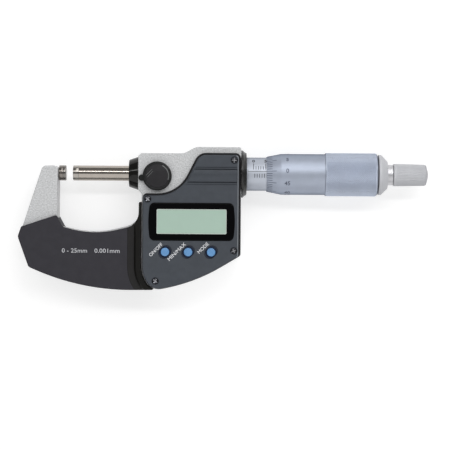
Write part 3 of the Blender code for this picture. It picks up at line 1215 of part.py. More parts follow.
def make_ratchet(axis_point, shaft_end, flat_z):
    """Sprung toothed ring on the hub's shaft, against teeth inside the knob."""
    steps = CLICK_TEETH * CLICK_STEPS
    knob_bore = KNOB_RADIUS - KNOB_WALL
    teeth_inner = HUB_SHAFT_RADIUS + 0.3 * MM
    teeth_outer = knob_bore - 0.15 * MM
    ring_x = TEETH_X + CLICK_TOOTH_HEIGHT + CLICK_PLAY
    ring_end = ring_x + CLICK_RING_THICKNESS
    ring_profile = [
        (ring_x, teeth_inner), (ring_x, teeth_outer), (ring_end, teeth_outer), (ring_end, teeth_inner),
    ]

    def ring_wave(index, step):
        return (CLICK_TOOTH_HEIGHT * (1.0 - saw(step)) if index < 2 else 0.0, 0.0)

    ring = turned("ratchet_click_ring", ring_profile, steps, "ground steel", wave=ring_wave)
    key_low = flat_z + SLIDE_FIT
    key = box("ring_flat", (ring_x + CLICK_TOOTH_HEIGHT + 0.2 * MM, -1.2 * MM, key_low),
              (ring_end - 0.05 * MM, 1.2 * MM, teeth_inner + 0.3 * MM))
    combine(ring, key, "UNION")
    screw_x = shaft_end + SEAT_GAP
    spring = coil("ratchet_spring", RATCHET_SPRING_COIL, RATCHET_SPRING_WIRE, RATCHET_SPRING_TURNS,
                  ring_end + SEAT_GAP / 2.0, screw_x - SEAT_GAP / 2.0, "ground steel", "X")
    head_end = screw_x + RATCHET_SCREW_HEAD
    screw = turned("ratchet_screw", [
        (shaft_end - 4.5 * MM, 0.0), (shaft_end - 4.5 * MM, RATCHET_SCREW_SHANK),
        (screw_x, RATCHET_SCREW_SHANK), (screw_x, knob_bore - 0.4 * MM),
        (head_end - 0.3 * MM, knob_bore - 0.4 * MM), (head_end, knob_bore - 0.8 * MM), (head_end, 0.0),
    ], SMALL_STEPS, "ground steel")
    cut(screw, box("driver_slot", (head_end - 0.6 * MM, -4.0 * MM, -0.3 * MM),
                   (head_end + MM, 4.0 * MM, 0.3 * MM)))
    for piece in (ring, spring, screw):
        piece.parent = axis_point
    make_knob(axis_point, knob_bore, teeth_inner, teeth_outer, steps)


def make_knob(axis_point, knob_bore, teeth_inner, teeth_outer, steps):
    """The fluted knob with its inner ring of saw teeth, and its end cap."""
    hole = HUB_SHAFT_RADIUS + SLIDE_FIT
    flute_x = KNOB_X + 1.4 * MM
    flute_steps = KNOB_FLUTES * 2
    profile = [
        (KNOB_X, hole), (KNOB_X, KNOB_RADIUS - 0.35 * MM), (KNOB_X + 0.35 * MM, KNOB_RADIUS),
        (flute_x, KNOB_RADIUS), (flute_x + 0.25 * MM, KNOB_RADIUS),
        (KNOB_END_X - 0.3 * MM, KNOB_END_RADIUS), (KNOB_END_X, KNOB_END_RADIUS - 0.2 * MM),
        (KNOB_END_X, knob_bore), (TEETH_X - 0.3 * MM, knob_bore), (TEETH_X - 0.3 * MM, hole),
    ]

    def flute_wave(index, step):
        return (0.0, -KNOB_FLUTE_DEPTH * (step % 2) if index in (4, 5) else 0.0)

    knob = turned("ratchet_knob", profile, flute_steps, "ratchet plastic", wave=flute_wave)
    teeth_profile = [
        (TEETH_X - 0.6 * MM, teeth_inner), (TEETH_X - 0.6 * MM, teeth_outer), (TEETH_X, teeth_outer),
        (TEETH_X, teeth_inner),
    ]

    def teeth_wave(index, step):
        return (CLICK_TOOTH_HEIGHT * saw(step) if index > 1 else 0.0, 0.0)

    teeth = turned("teeth_form", teeth_profile, steps, wave=teeth_wave)
    combine(knob, teeth, "UNION")
    plug_x = KNOB_END_X - 1.4 * MM
    brim_x = KNOB_END_X + SEAT_GAP / 2.0
    cap = turned("ratchet_cap", [
        (plug_x, 0.0), (plug_x, knob_bore - SLIDE_FIT), (brim_x, knob_bore - SLIDE_FIT),
        (brim_x, KNOB_END_RADIUS - 0.25 * MM), (brim_x + 0.2 * MM, KNOB_END_RADIUS - 0.25 * MM),
        (brim_x + CAP_END_LENGTH, 1.2 * MM), (brim_x + CAP_END_LENGTH, 0.0),
    ], MID_STEPS, "ratchet plastic")
    for piece in (knob, cap):
        piece.parent = axis_point


def build():
    clear_scene()
    spindle_axis = bpy.data.objects.new("spindle_axis", None)
    bpy.context.scene.collection.objects.link(spindle_axis)
    make_frame()
    make_anvil()
    make_grip("front_grip", 1.0)
    make_grip("rear_grip", -1.0)
    make_gasket()
    make_cover()
    make_display()
    make_keys()
    make_case_screws()
    make_battery()
    make_wiper()
    make_clamp()
    make_encoder()
    make_stem()
    make_spindle(spindle_axis)
    make_thimble(spindle_axis)
    shaft_end, flat_z = make_hub(spindle_axis)
    make_ratchet(spindle_axis, shaft_end, flat_z)


build()
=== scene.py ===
"""Looks of a digital outside micrometer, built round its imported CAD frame.

Lengths are in millimetres, and a mesh is scaled to metres when it becomes a piece.
+X runs along the spindle, +Y out of the throat and +Z out of the display.
"""

import json
from math import acos, atan2, ceil, cos, degrees, hypot, pi, radians, sin, tan

import bmesh
import bpy
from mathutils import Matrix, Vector


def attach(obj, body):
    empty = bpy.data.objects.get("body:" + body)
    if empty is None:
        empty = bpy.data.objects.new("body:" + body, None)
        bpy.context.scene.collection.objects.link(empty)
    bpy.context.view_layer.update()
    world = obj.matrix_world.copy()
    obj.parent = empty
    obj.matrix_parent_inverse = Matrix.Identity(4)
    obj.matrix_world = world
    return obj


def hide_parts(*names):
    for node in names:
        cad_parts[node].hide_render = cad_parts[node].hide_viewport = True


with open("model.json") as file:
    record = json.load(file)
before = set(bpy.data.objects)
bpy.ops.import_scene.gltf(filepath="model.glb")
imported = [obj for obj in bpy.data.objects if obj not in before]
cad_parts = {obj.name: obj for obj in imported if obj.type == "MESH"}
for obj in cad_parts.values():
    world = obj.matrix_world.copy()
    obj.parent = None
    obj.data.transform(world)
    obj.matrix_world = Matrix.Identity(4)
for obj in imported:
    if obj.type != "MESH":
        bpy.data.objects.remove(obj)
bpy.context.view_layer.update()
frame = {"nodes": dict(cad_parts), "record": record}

MM = 0.001

# Measuring line, along X
REST_OPENING = 2.9
RELIEF_RADIUS = 2.925
THREAD_RADIUS = 3.6
CONE_END_RADIUS = 2.9
HUB_BORE = 1.6
SPINDLE_END_X = 128.5
FACE_RADIUS = 3.175
BORE_RADIUS = 3.275
SEAT_GAP = 0.2
ANVIL_TIP_LENGTH = 1.2
SPINDLE_TIP_LENGTH = 2.4
ANVIL_SHANK_RADIUS = 2.2
ANVIL_HOLE_RADIUS = 2.3
STEM_HOLE_RADIUS = 5.3
WIPER_NOSE_X = 26.2
WIPER_NOSE_RADIUS = 5.65
WIPER_RADIUS = 6.9
WIPER_SHANK_RADIUS = 4.5
WIPER_SHANK_LENGTH = 3.0
WIPER_HOLE_RADIUS = 4.7

# Frame and grips
ARM_FACE_X = -3.1
ARM_TOP_Y = 2.9
ARM_OUTER_X = -9.43
ARM_LEAN = 0.3254
FRAME_HALF_DEPTH = 5.0
THROAT_LEFT_Y = -21.8
THROAT_LEFT_CORNER = 2.0
THROAT_MIDDLE = (12.4, -25.2)
THROAT_BEND = 40.0
THROAT_RIGHT = (30.5, -20.7)
THROAT_RIGHT_CORNER = 6.0
GRIP_TOP_Y = -22.4
GRIP_TIP_Y = -17.55
GRIP_TIP_INSET = 0.35
GRIP_NOTCH = 2.25
GRIP_PROUD = 0.35
GRIP_HEEL_PROUD = 0.45
GRIP_HEEL_Y = -26.5
GRIP_CORNER = (-14.9, -39.1)
GRIP_LOW = (7.6, -48.6)
GRIP_BEND = 98.0
GRIP_FOOT = (36.3, -48.3)
GRIP_END_Y = -12.0
GRIP_OUTSET = 1.1
GRIP_STEP = 0.62
GRIP_HALF_DEPTH = 7.0
RAMP_LENGTH = 5.75
RAMP_HEIGHT = 2.2

# Housing
BOSS_X = 30.2
BOSS_TOP_Y = 8.25
BOSS_BOTTOM_Y = -6.9
BOSS_CHAMFER = 1.2
HOUSING_LEFT = 31.7
HOUSING_RIGHT = 72.75
HOUSING_TOP_Y = 10.95
HOUSING_SHOULDER_Y = -41.8
HOUSING_SHOULDER_BEND = 12.0
HOUSING_TOE = (35.9, -48.67)
HOUSING_TOE_BEND = 6.0
HOUSING_BELLY = (53.5, -45.5)
HOUSING_SIDE_Y = -33.9
HOUSING_BEND = 75.0
RIM_Z = 7.0
REAR_Z = -10.0
FLOOR_Z = -8.4
TRAY_LEFT = 33.5
TRAY_RIGHT = 70.95
TRAY_TOP_Y = -9.4

# Cover, window and keys
GASKET_TOP_Y = 8.4
GASKET_WAIST = (46.7, -8.4)
GASKET_SHOULDER_X = 55.2
WAIST_BEND = 14.0
GASKET_Z = 7.2
GASKET_INSET_LEFT = 0.45
GASKET_INSET_RIGHT = 0.15
GASKET_INSET_LOW = 0.2
GASKET_INSET_TOE = 0.35
COVER_Z = 8.2
COVER_TOP_Z = 10.2
EDGE_REVEAL = 0.9
COVER_SIDE_GAP = 0.15
BAND_LOW_Y = -3.9
BAND_HIGH_Y = 1.6
BAND_RISE = 0.5
BAND_START_X = 38.7
BAND_END_X = 73.5
# Each groove is its line in Y, its width and its depth
GROOVES = ((2.4, 0.28, 0.35), (1.6, 0.36, 0.7), (-0.95, 0.9, 0.12), (-3.75, 0.36, 0.5), (-4.65, 0.24, 0.25))
WINDOW_CENTRE = (52.45, -20.05)
WINDOW_HALF_WIDTH = 17.05
WINDOW_HALF_HEIGHT = 7.7
WINDOW_BULGE = 0.85
WINDOW_CORNER = 2.0
DISPLAY_HALF_WIDTH = 14.37
DISPLAY_HALF_HEIGHT = 5.12
KEY_Y = -32.5
KEY_X = {"left_button": 41.6, "middle_button": 51.075, "right_button": 60.55}
KEY_RADIUS = 1.75
KEY_BASE_Z = 7.9
KEY_ANGLE = radians(45.0)
SCREW_PLACES = ((34.35, -10.8), (69.85, 5.4), (69.85, -31.9), (37.64, -44.5))
SCREW_HEAD_RADIUS = 1.3
CROSS_REACH = 0.95

# Clamp and battery door
CLAMP_CENTRE = (38.1, -1.25)
CLAMP_RADIUS = 6.0
CLAMP_FACE_RADIUS = 4.75
CLAMP_LOW_Z = 7.2
CLAMP_HOLE_RADIUS = 2.1
NUB_REACH = 7.75
NUB_HALF_WIDTH = 1.3
NUB_ANGLE = radians(6.5)
# Where the painted highlight sits on the edge of the clamp's face: its middle angle and half spread in degrees.
GLEAM_ANGLE = 22.0
GLEAM_SPREAD = 42.0
BATTERY_CENTRE = (51.0, -27.0)
CAP_RADIUS = 6.8

# Sleeve, thimble and ratchet
SLEEVE_RADIUS = 6.9
SLEEVE_BORE = 6.2
COLLAR_RADIUS = 9.85
COLLAR_END_X = 74.98
SLEEVE_START_X = 75.0
SLEEVE_END_X = 117.5
SCALE_ZERO_X = 77.83
DATUM_ANGLE = radians(8.0)
TICK_HALF = 0.12
THIMBLE_EDGE_X = 83.25
THIMBLE_BEVEL_X = 89.35
THIMBLE_EDGE_RADIUS = 7.25
THIMBLE_RADIUS = 8.5
THIMBLE_BORE = 7.05
KNURL_X = 107.45
KNURL_RADIUS = 9.0
KNURL_DEPTH = 0.2
KNURL_COLUMNS = 140
THIMBLE_CHAMFER = 0.4
THIMBLE_END_X = 129.15
FLANGE_X = 129.7
FLANGE_RADIUS = 8.4
NECK_X = 133.6
NECK_RADIUS = 4.275
KNOB_X = 136.05
KNOB_END_X = 149.35
KNOB_RADIUS = 4.65
KNOB_END_RADIUS = 4.4
KNOB_FLUTES = 40

# Studio: a lamp's tilt from overhead towards +Y, half its spread in degrees, its radiance and its ends in X
LAMP_DISTANCE = 1.0
LAMPS = (
    ("overhead_strip", 27.0, 3.0, 6.8, -1.2, 1.2),
    ("far_side", 52.0, 22.0, 1.7, -0.05, 1.5),
    ("near_side", -45.0, 32.0, 0.85, -1.2, 1.2),
)
# Camera in metres, and the width that it sees in the plane of the spindle
CAMERA_PLACE = (0.06619, -0.02126, 0.7)
CAMERA_ROLL = radians(0.39)
SENSOR_WIDTH = 36.0
VIEW_WIDTH = 0.1875
WORLD_LEVEL = 0.25
FLOOR_SHADE = (188, 188, 188)
FLOOR_GLOW = 0.6

# Steps of combined()
CUT = "DIFFERENCE"
JOIN = "UNION"
KEEP = "INTERSECT"

# Smoothness
ARC_TOLERANCE = 0.012
ROUND_STEPS = 96
EDGE_STEPS = 5
SHARP_ANGLE = radians(32.0)


def linear(red, green, blue):
    """Scene colour of the 0 to 255 values that a screen shows."""
    return tuple(((value / 255.0 + 0.055) / 1.055) ** 2.4 for value in (red, green, blue))


class Finish:
    """One procedural material: a Principled shader and the nodes that feed it."""

    def __init__(self, name, shown, roughness, metallic=0.0, **sockets):
        self.material = bpy.data.materials.new(name)
        self.material.use_nodes = True
        self.tree = self.material.node_tree
        self.shader = self.tree.nodes["Principled BSDF"]
        self.colour = linear(*shown)
        self.shader.inputs["Base Color"].default_value = (*self.colour, 1.0)
        self.shader.inputs["Roughness"].default_value = roughness
        self.shader.inputs["Metallic"].default_value = metallic
        for socket, value in sockets.items():
            self.shader.inputs[socket.replace("_", " ")].default_value = value
        self.place = self.add("ShaderNodeTexCoord").outputs["Object"]
        self.normal = None

    def add(self, kind, inputs=None, **settings):
        made = self.tree.nodes.new(kind)
        for key, value in settings.items():
            setattr(made, key, value)
        for key, value in (inputs or {}).items():
            if isinstance(value, bpy.types.NodeSocket):
                self.tree.links.new(value, made.inputs[key])
            else:
                made.inputs[key].default_value = value
        return made

    def scaled(self, size, stretch=(1.0, 1.0, 1.0)):
        scale = [1.0 / (size * MM * share) for share in stretch]
        return self.add("ShaderNodeMapping", {"Vector": self.place, "Scale": scale}).outputs["Vector"]

    def grain(self, size, detail=2.0, stretch=(1.0, 1.0, 1.0)):
        """Noise with lumps about that many millimetres across."""
        inputs = {"Vector": self.scaled(size, stretch), "Scale": 1.0, "Detail": detail}
        return self.add("ShaderNodeTexNoise", inputs).outputs[0]

    def cells(self, size):
        inputs = {"Vector": self.scaled(size), "Scale": 1.0, "Smoothness": 0.6}
        return self.add("ShaderNodeTexVoronoi", inputs, feature="SMOOTH_F1").outputs["Distance"]

    def spread(self, value, low, high, to_low=0.0, to_high=1.0):
        inputs = {"Value": value, "From Min": low, "From Max": high, "To Min": to_low, "To Max": to_high}
        return self.add("ShaderNodeMapRange", inputs).outputs["Result"]

    def vary_colour(self, value, darker, lighter):
        """Blend between a darker and a lighter shade of the colour."""
        mix = self.add("ShaderNodeMix", data_type="RGBA")
        self.tree.links.new(self.spread(value, 0.3, 0.7), mix.inputs[0])
        mix.inputs[6].default_value = (*(channel * darker for channel in self.colour), 1.0)
        mix.inputs[7].default_value = (*(channel * lighter for channel in self.colour), 1.0)
        self.tree.links.new(mix.outputs[2], self.shader.inputs["Base Color"])
        return self

    def vary_roughness(self, value, low, high):
        self.tree.links.new(self.spread(value, 0.3, 0.7, low, high), self.shader.inputs["Roughness"])
        return self

    def relief(self, value, depth):
        """Bump of that many millimetres, on top of any that is there."""
        inputs = {"Height": value, "Distance": depth * MM, "Strength": 1.0}
        if self.normal:
            inputs["Normal"] = self.normal
        self.normal = self.add("ShaderNodeBump", inputs).outputs["Normal"]
        self.tree.links.new(self.normal, self.shader.inputs["Normal"])
        return self


def hammered_paint():
    made = Finish("hammered_paint", (203, 204, 205), 0.42, 0.15)
    made.vary_colour(made.grain(0.5, 3.0), 0.74, 1.2)
    made.vary_roughness(made.grain(2.5), 0.34, 0.5)
    return made.relief(made.cells(0.9), 0.05).relief(made.grain(0.35), 0.02)


def moulded(name, shown, roughness, grain_size=0.22, depth=0.012, blotch=0.06, shine=0.5):
    """Spark-eroded plastic: a fine even texture with faint blotches."""
    made = Finish(name, shown, roughness, Specular_IOR_Level=shine)
    made.vary_colour(made.grain(3.0, 4.0), 1.0 - blotch, 1.0 + blotch)
    made.vary_roughness(made.grain(1.2, 3.0), roughness - 0.06, roughness + 0.06)
    return made.relief(made.grain(grain_size, 3.0), depth)


def turned_metal(name, shown, roughness, along=0.12, depth=0.0015):
    """Metal with fine rings round the measuring line and faint stains."""
    made = Finish(name, shown, roughness, 1.0)
    made.vary_colour(made.grain(4.0, 4.0), 0.95, 1.04)
    rings = made.grain(along, 3.0, (1.0, 400.0, 400.0))
    made.vary_roughness(rings, roughness - 0.04, roughness + 0.05)
    return made.relief(rings, depth)


def satin_chrome(name, shown):
    # The black specular tint darkens the chrome's grazing reflections at its edges: painted shade.
    made = Finish(name, shown, 0.52, 1.0, Specular_Tint=(0.0, 0.0, 0.0, 1.0))
    made.vary_colour(made.grain(5.0, 4.0), 0.96, 1.03)
    made.vary_roughness(made.grain(0.5, 3.0), 0.49, 0.56)
    return made.relief(made.grain(0.09, 2.0), 0.004)


def ink(name, shown):
    made = Finish(name, shown, 0.5)
    return made.vary_colour(made.grain(0.3), 0.94, 1.04)


PAINT = hammered_paint()
GRIP = moulded("grip_plastic", (54, 53, 58), 0.62, shine=0.15)
# Darker copies of the grip plastic for the ramp: painted shade on its slope, deeper painted shade on its top.
RAMP_PAINTED_SHADE = moulded("grip_ramp_painted_shade", (40, 39, 39), 0.5, shine=0.15)
RAMP_TOP_PAINTED_SHADE = moulded("grip_lip_painted_shade", (22, 21, 19), 0.4, shine=0.15)
COVER = moulded("cover_plastic", (70, 74, 80), 0.5, 0.18, 0.009, shine=0.15)
# A lighter copy of the cover plastic: a painted highlight on the right edge's bevel.
COVER_EDGE_HIGHLIGHT = moulded("cover_edge_painted_highlight", (122, 126, 131), 0.45, 0.18, 0.009, shine=0.2)
BLACK = moulded("black_plastic", (24, 24, 24), 0.3, 0.4, 0.004)
GLOSS_BLACK = moulded("gloss_black", (12, 12, 10), 0.11, 0.6, 0.001, shine=0.3)
BEZEL = moulded("bezel_black", (3, 3, 5), 0.12, 0.8, 0.001, shine=0.12)
RUBBER = moulded("rubber", (30, 30, 33), 0.72, shine=0.3)
DIAL = moulded("dial_plastic", (42, 41, 43), 0.4, 0.3, 0.006, shine=0.2)
DIAL_RIM = moulded("dial_rim", (26, 27, 27), 0.4, 0.3, 0.006, shine=0.2)
# A lighter copy of the dial plastic: painted highlight on the face's edge and on the two ribs.
DIAL_HIGHLIGHT = moulded("dial_painted_highlight", (104, 106, 106), 0.4, 0.3, 0.004)
KEY_BLUE = moulded("key_blue", (98, 148, 198), 0.35, 0.3, 0.004)
KEY_NAVY = moulded("key_navy", (14, 26, 54), 0.45, shine=0.25)
# Dark plastic for the liners in the key dishes: painted shade.
KEY_DISH_PAINTED_SHADE = moulded("key_dish_painted_shade", (46, 51, 62), 0.5, shine=0.25)
RATCHET = moulded("ratchet_plastic", (192, 193, 197), 0.42, 0.3, 0.004, 0.03)
DISPLAY = moulded("display_green", (167, 191, 177), 0.35, 0.6, 0.0008, 0.01, shine=0.25)
DISPLAY_EDGE = moulded("display_edge", (196, 208, 199), 0.4)
STEEL = turned_metal("ground_steel", (172, 165, 157), 0.12)
NECK = turned_metal("neck_steel", (200, 200, 203), 0.42)
DULL_STEEL = turned_metal("dull_steel", (132, 127, 122), 0.2)
TIP_STEEL = turned_metal("tip_steel", (168, 163, 157), 0.14)
CARBIDE = turned_metal("carbide", (128, 125, 121), 0.2)
CHROME = satin_chrome("satin_chrome", (173, 180, 194))
KNURLED = satin_chrome("knurled_chrome", (193, 201, 216))
SLEEVE_CHROME = satin_chrome("sleeve_chrome", (195, 200, 210))
SCREW = turned_metal("black_steel", (58, 58, 62), 0.25)
# Bright steel for the cross recesses: a painted glint.
SCREW_CROSS_GLINT = turned_metal("cross_painted_glint", (215, 216, 220), 0.3)
BRASS = turned_metal("brass", (205, 175, 110), 0.3)
BOARD = moulded("circuit_board", (22, 82, 48), 0.45)
WHITE_INK = ink("white_ink", (192, 193, 197))
LABEL_INK = ink("label_ink", (226, 227, 230))
DARK_INK = ink("dark_ink", (38, 41, 50))
GREY_INK = ink("grey_ink", (110, 115, 118))
SOFT_INK = ink("soft_ink", (86, 92, 108))


def arc_reaches(corners):
    """How far each corner's arc takes up its two edges, shared out where they are short."""
    reaches = []
    turns = []
    count = len(corners)
    for i, (x, y, radius) in enumerate(corners):
        to_before = Vector(corners[i - 1][:2]) - Vector((x, y))
        to_after = Vector(corners[(i + 1) % count][:2]) - Vector((x, y))
        turn = pi - to_before.angle(to_after)
        turns.append(turn)
        reaches.append(radius * tan(turn / 2.0) if turn > 0.01 else 0.0)
    for i in range(count):
        j = (i + 1) % count
        length = (Vector(corners[j][:2]) - Vector(corners[i][:2])).length
        wanted = reaches[i] + reaches[j]
        if wanted > 0.98 * length:
            reaches[i] *= 0.98 * length / wanted
            reaches[j] *= 0.98 * length / wanted
    return reaches, turns


def rounded(corners, tolerance=ARC_TOLERANCE):
    """Outline of points, with each corner (x, y, radius) turned into an arc; (x, y) stays sharp."""
    corners = [(*corner, 0.0)[:3] for corner in corners]
    points = []
    reaches, turns = arc_reaches(corners)
    for i, (x, y, _) in enumerate(corners):
        reach, turn = reaches[i], turns[i]
        if reach <= 0.0:
            points.append((x, y))
            continue
        corner = Vector((x, y))
        to_before = (Vector(corners[i - 1][:2]) - corner).normalized()
        to_after = (Vector(corners[(i + 1) % len(corners)][:2]) - corner).normalized()
        radius = reach / tan(turn / 2.0)
        start = corner + to_before * reach
        middle = corner + (to_before + to_after).normalized() * (radius / cos(turn / 2.0))
        side = 1.0 if to_after.cross(to_before) > 0.0 else -1.0
        step = 2.0 * acos(max(0.0, 1.0 - tolerance / radius))
        count = max(3, ceil(turn / step))
        arm = start - middle
        for k in range(count + 1):
            angle = side * turn * k / count
            points.append((
                middle.x + arm.x * cos(angle) - arm.y * sin(angle),
                middle.y + arm.x * sin(angle) + arm.y * cos(angle),
            ))
    return points


def offset_corners(corners, distances):
    """The outline with each edge moved inwards by its distance."""
    count = len(corners)
    if not isinstance(distances, (list, tuple)):
        distances = [distances] * count
    lines = []
    for i, corner in enumerate(corners):
        start = Vector(corner[:2])
        along = (Vector(corners[(i + 1) % count][:2]) - start).normalized()
        lines.append((start + Vector((-along.y, along.x)) * distances[i], along))
    moved = []
    for i, corner in enumerate(corners):
        before, way_before = lines[i - 1]
        after, way_after = lines[i]
        turn = way_before.cross(way_after)
        point = before + way_before * ((after - before).cross(way_after) / turn)
        shift = (distances[i - 1] + distances[i]) / 2.0
        radius = corner[2] - shift if turn > 0.0 else corner[2] + shift
        moved.append((point.x, point.y, max(radius, 0.0) if corner[2] else 0.0))
    return moved


def inset_points(points, distance):
    """Move every point of a dense outline inwards, square to the outline."""
    moved = []
    for i, point in enumerate(points):
        here = Vector(point)
        before = (here - Vector(points[i - 1])).normalized()
        after = (Vector(points[(i + 1) % len(points)]) - here).normalized()
        normal_before = Vector((-before.y, before.x))
        normal_after = Vector((-after.y, after.x))
        scale = distance / max(0.2, 1.0 + normal_before.dot(normal_after))
        miter = (normal_before + normal_after) * scale
        moved.append((here.x + miter.x, here.y + miter.y))
    return moved


def quarter_round(face, radius, steps=EDGE_STEPS):
    """(height, inset) pairs from a face to the full outline; a negative radius goes down."""
    pairs = []
    for k in range(steps + 1):
        angle = pi / 2.0 * k / steps
        pairs.append((face + radius * (1.0 - cos(angle)), abs(radius) * (1.0 - sin(angle))))
    return pairs


def layered(points, levels):
    """A solid whose outline shrinks by the inset of each (height, inset) level."""
    bm = bmesh.new()
    rings = []
    for z, inset in levels:
        ring = inset_points(points, inset) if inset else points
        rings.append([bm.verts.new((x, y, z)) for x, y in ring])
    count = len(points)
    for lower, upper in zip(rings, rings[1:]):
        for i in range(count):
            j = (i + 1) % count
            bm.faces.new((lower[i], lower[j], upper[j], upper[i]))
    bm.faces.new(list(reversed(rings[0])))
    bm.faces.new(rings[-1])
    return bm


def slab(points, low, high, round_low=0.0, round_high=0.0):
    levels = quarter_round(low, round_low) if round_low else [(low, 0.0)]
    if round_high:
        levels += reversed(quarter_round(high, -round_high))
    else:
        levels.append((high, 0.0))
    return layered(points, levels)


def turned(profile, steps=ROUND_STEPS, axis="X", at=(0.0, 0.0, 0.0), wave=None):
    """Revolve a closed profile of (along, radius) points; wave(index, step) adds to the radius."""
    bm = bmesh.new()
    rings = []
    for index, (along, radius) in enumerate(profile):
        ring = []
        for k in range(1 if radius <= 1e-6 else steps):
            angle = 2.0 * pi * k / steps
            reach = radius + (wave(index, k) if wave and radius > 1e-6 else 0.0)
            across, up = reach * cos(angle), reach * sin(angle)
            spot = (along, across, up) if axis == "X" else (across, up, along)
            ring.append(bm.verts.new(Vector(spot) + Vector(at)))
        rings.append(ring)

    def distance(vert):
        offset = vert.co - Vector(at)
        return hypot(offset.y, offset.z) if axis == "X" else hypot(offset.x, offset.y)

    for i, first in enumerate(rings):
        second = rings[(i + 1) % len(rings)]
        if len(first) == 1 and len(second) == 1:
            continue
        for k in range(steps):
            m = (k + 1) % steps
            if len(first) == 1:
                bm.faces.new((first[0], second[k], second[m]))
            elif len(second) == 1:
                bm.faces.new((first[k], second[0], first[m]))
            else:
                a, b, c, d = first[k], second[k], second[m], first[m]
                lean = distance(a) + distance(c) - distance(b) - distance(d) if wave else 0.0
                if lean < -0.01:
                    bm.faces.new((a, b, c))
                    bm.faces.new((a, c, d))
                elif lean > 0.01:
                    bm.faces.new((a, b, d))
                    bm.faces.new((b, c, d))
                else:
                    bm.faces.new((a, b, c, d))
    return bm


def rod(radius, start, end, axis="X", at=(0.0, 0.0, 0.0), steps=ROUND_STEPS):
    return turned([(start, 0.0), (start, radius), (end, radius), (end, 0.0)], steps, axis, at)


def lay_down(bm, turn=0.0, at=(0.0, 0.0, 0.0)):
    """Turn a mesh about Z and move it."""
    for vert in bm.verts:
        x, y, z = vert.co
        vert.co = (
            x * cos(turn) - y * sin(turn) + at[0],
            x * sin(turn) + y * cos(turn) + at[1],
            z + at[2],
        )
    return bm


def as_object(bm, name):
    bmesh.ops.recalc_face_normals(bm, faces=bm.faces)
    mesh = bpy.data.meshes.new(name)
    bm.to_mesh(mesh)
    bm.free()
    made = bpy.data.objects.new(name, mesh)
    bpy.context.scene.collection.objects.link(made)
    return made


def combined(bm, steps):
    """Cut or join meshes into the first one; steps are (operation, mesh) pairs."""
    target = as_object(bm, "target")
    tools = []
    for operation, tool_mesh in steps:
        tool = as_object(tool_mesh, "tool")
        modifier = target.modifiers.new("step", "BOOLEAN")
        modifier.operation = operation
        modifier.solver = "EXACT"
        modifier.object = tool
        tools.append(tool)
    graph = bpy.context.evaluated_depsgraph_get()
    result = bmesh.new()
    result.from_mesh(target.evaluated_get(graph).to_mesh())
    for item in [target, *tools]:
        mesh = item.data
        bpy.data.objects.remove(item)
        bpy.data.meshes.remove(mesh)
    bmesh.ops.remove_doubles(result, verts=result.verts, dist=0.0005)
    bmesh.ops.dissolve_degenerate(result, edges=result.edges, dist=0.0005)
    return result


def piece(name, bm, body, finish, *replaced, slot=None, weighted=False):
    """Make a mesh into a piece that rides on a body and stands for CAD nodes."""
    for vert in bm.verts:
        vert.co *= MM
    made = as_object(bm, name)
    made.data.shade_smooth()
    made.data.set_sharp_from_angle(angle=SHARP_ANGLE)
    made.data.materials.append(finish.material)
    if weighted:
        modifier = made.modifiers.new("flat_faces", "WEIGHTED_NORMAL")
        modifier.keep_sharp = True
        modifier.weight = 100
    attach(made, body)
    if replaced:
        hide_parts(*replaced)
    return made


def refinish(made, finish, chosen):
    """Give the faces that chosen(face) picks another finish."""
    made.data.materials.append(finish.material)
    index = len(made.data.materials) - 1
    for face in made.data.polygons:
        if chosen(face):
            face.material_index = index


def arm_edge_x(y):
    """X of the arm's leaning outer edge at a height."""
    return ARM_OUTER_X + (y - ARM_TOP_Y) * ARM_LEAN


def housing_corners():
    return [
        (HOUSING_RIGHT, HOUSING_TOP_Y, 0.9),
        (GASKET_SHOULDER_X - 1.05, HOUSING_TOP_Y, 5.0),
        (GASKET_WAIST[0] + 2.4, BOSS_TOP_Y, 5.0),
        (BOSS_X + BOSS_CHAMFER, BOSS_TOP_Y, 0.0),
        (BOSS_X, BOSS_TOP_Y - BOSS_CHAMFER, 0.0),
        (BOSS_X, BOSS_BOTTOM_Y, 0.0),
        (HOUSING_LEFT, BOSS_BOTTOM_Y - 1.7, 0.0),
        (HOUSING_LEFT, HOUSING_SHOULDER_Y, HOUSING_SHOULDER_BEND),
        (*HOUSING_TOE, HOUSING_TOE_BEND),
        (*HOUSING_BELLY, HOUSING_BEND),
        (HOUSING_RIGHT, HOUSING_SIDE_Y, 1.6),
    ]


def gasket_corners():
    """Outer edge of the gasket: an S above, the housing's own line below."""
    left = HOUSING_LEFT + GASKET_INSET_LEFT
    right = HOUSING_RIGHT - GASKET_INSET_RIGHT
    toe = (HOUSING_TOE[0] + GASKET_INSET_TOE, HOUSING_TOE[1] + GASKET_INSET_LOW)
    return [
        (right, GASKET_TOP_Y, 2.2),
        (GASKET_SHOULDER_X, GASKET_TOP_Y, 5.0),
        (*GASKET_WAIST, WAIST_BEND),
        (left, GASKET_WAIST[1], 1.8),
        (left, HOUSING_SHOULDER_Y, HOUSING_SHOULDER_BEND),
        (*toe, HOUSING_TOE_BEND),
        (HOUSING_BELLY[0], HOUSING_BELLY[1] + GASKET_INSET_LOW, HOUSING_BEND),
        (right, HOUSING_SIDE_Y, 1.6),
    ]


def cover_corners():
    reveals = [EDGE_REVEAL] * 3 + [COVER_SIDE_GAP] * 4 + [EDGE_REVEAL]
    return offset_corners(gasket_corners(), reveals)


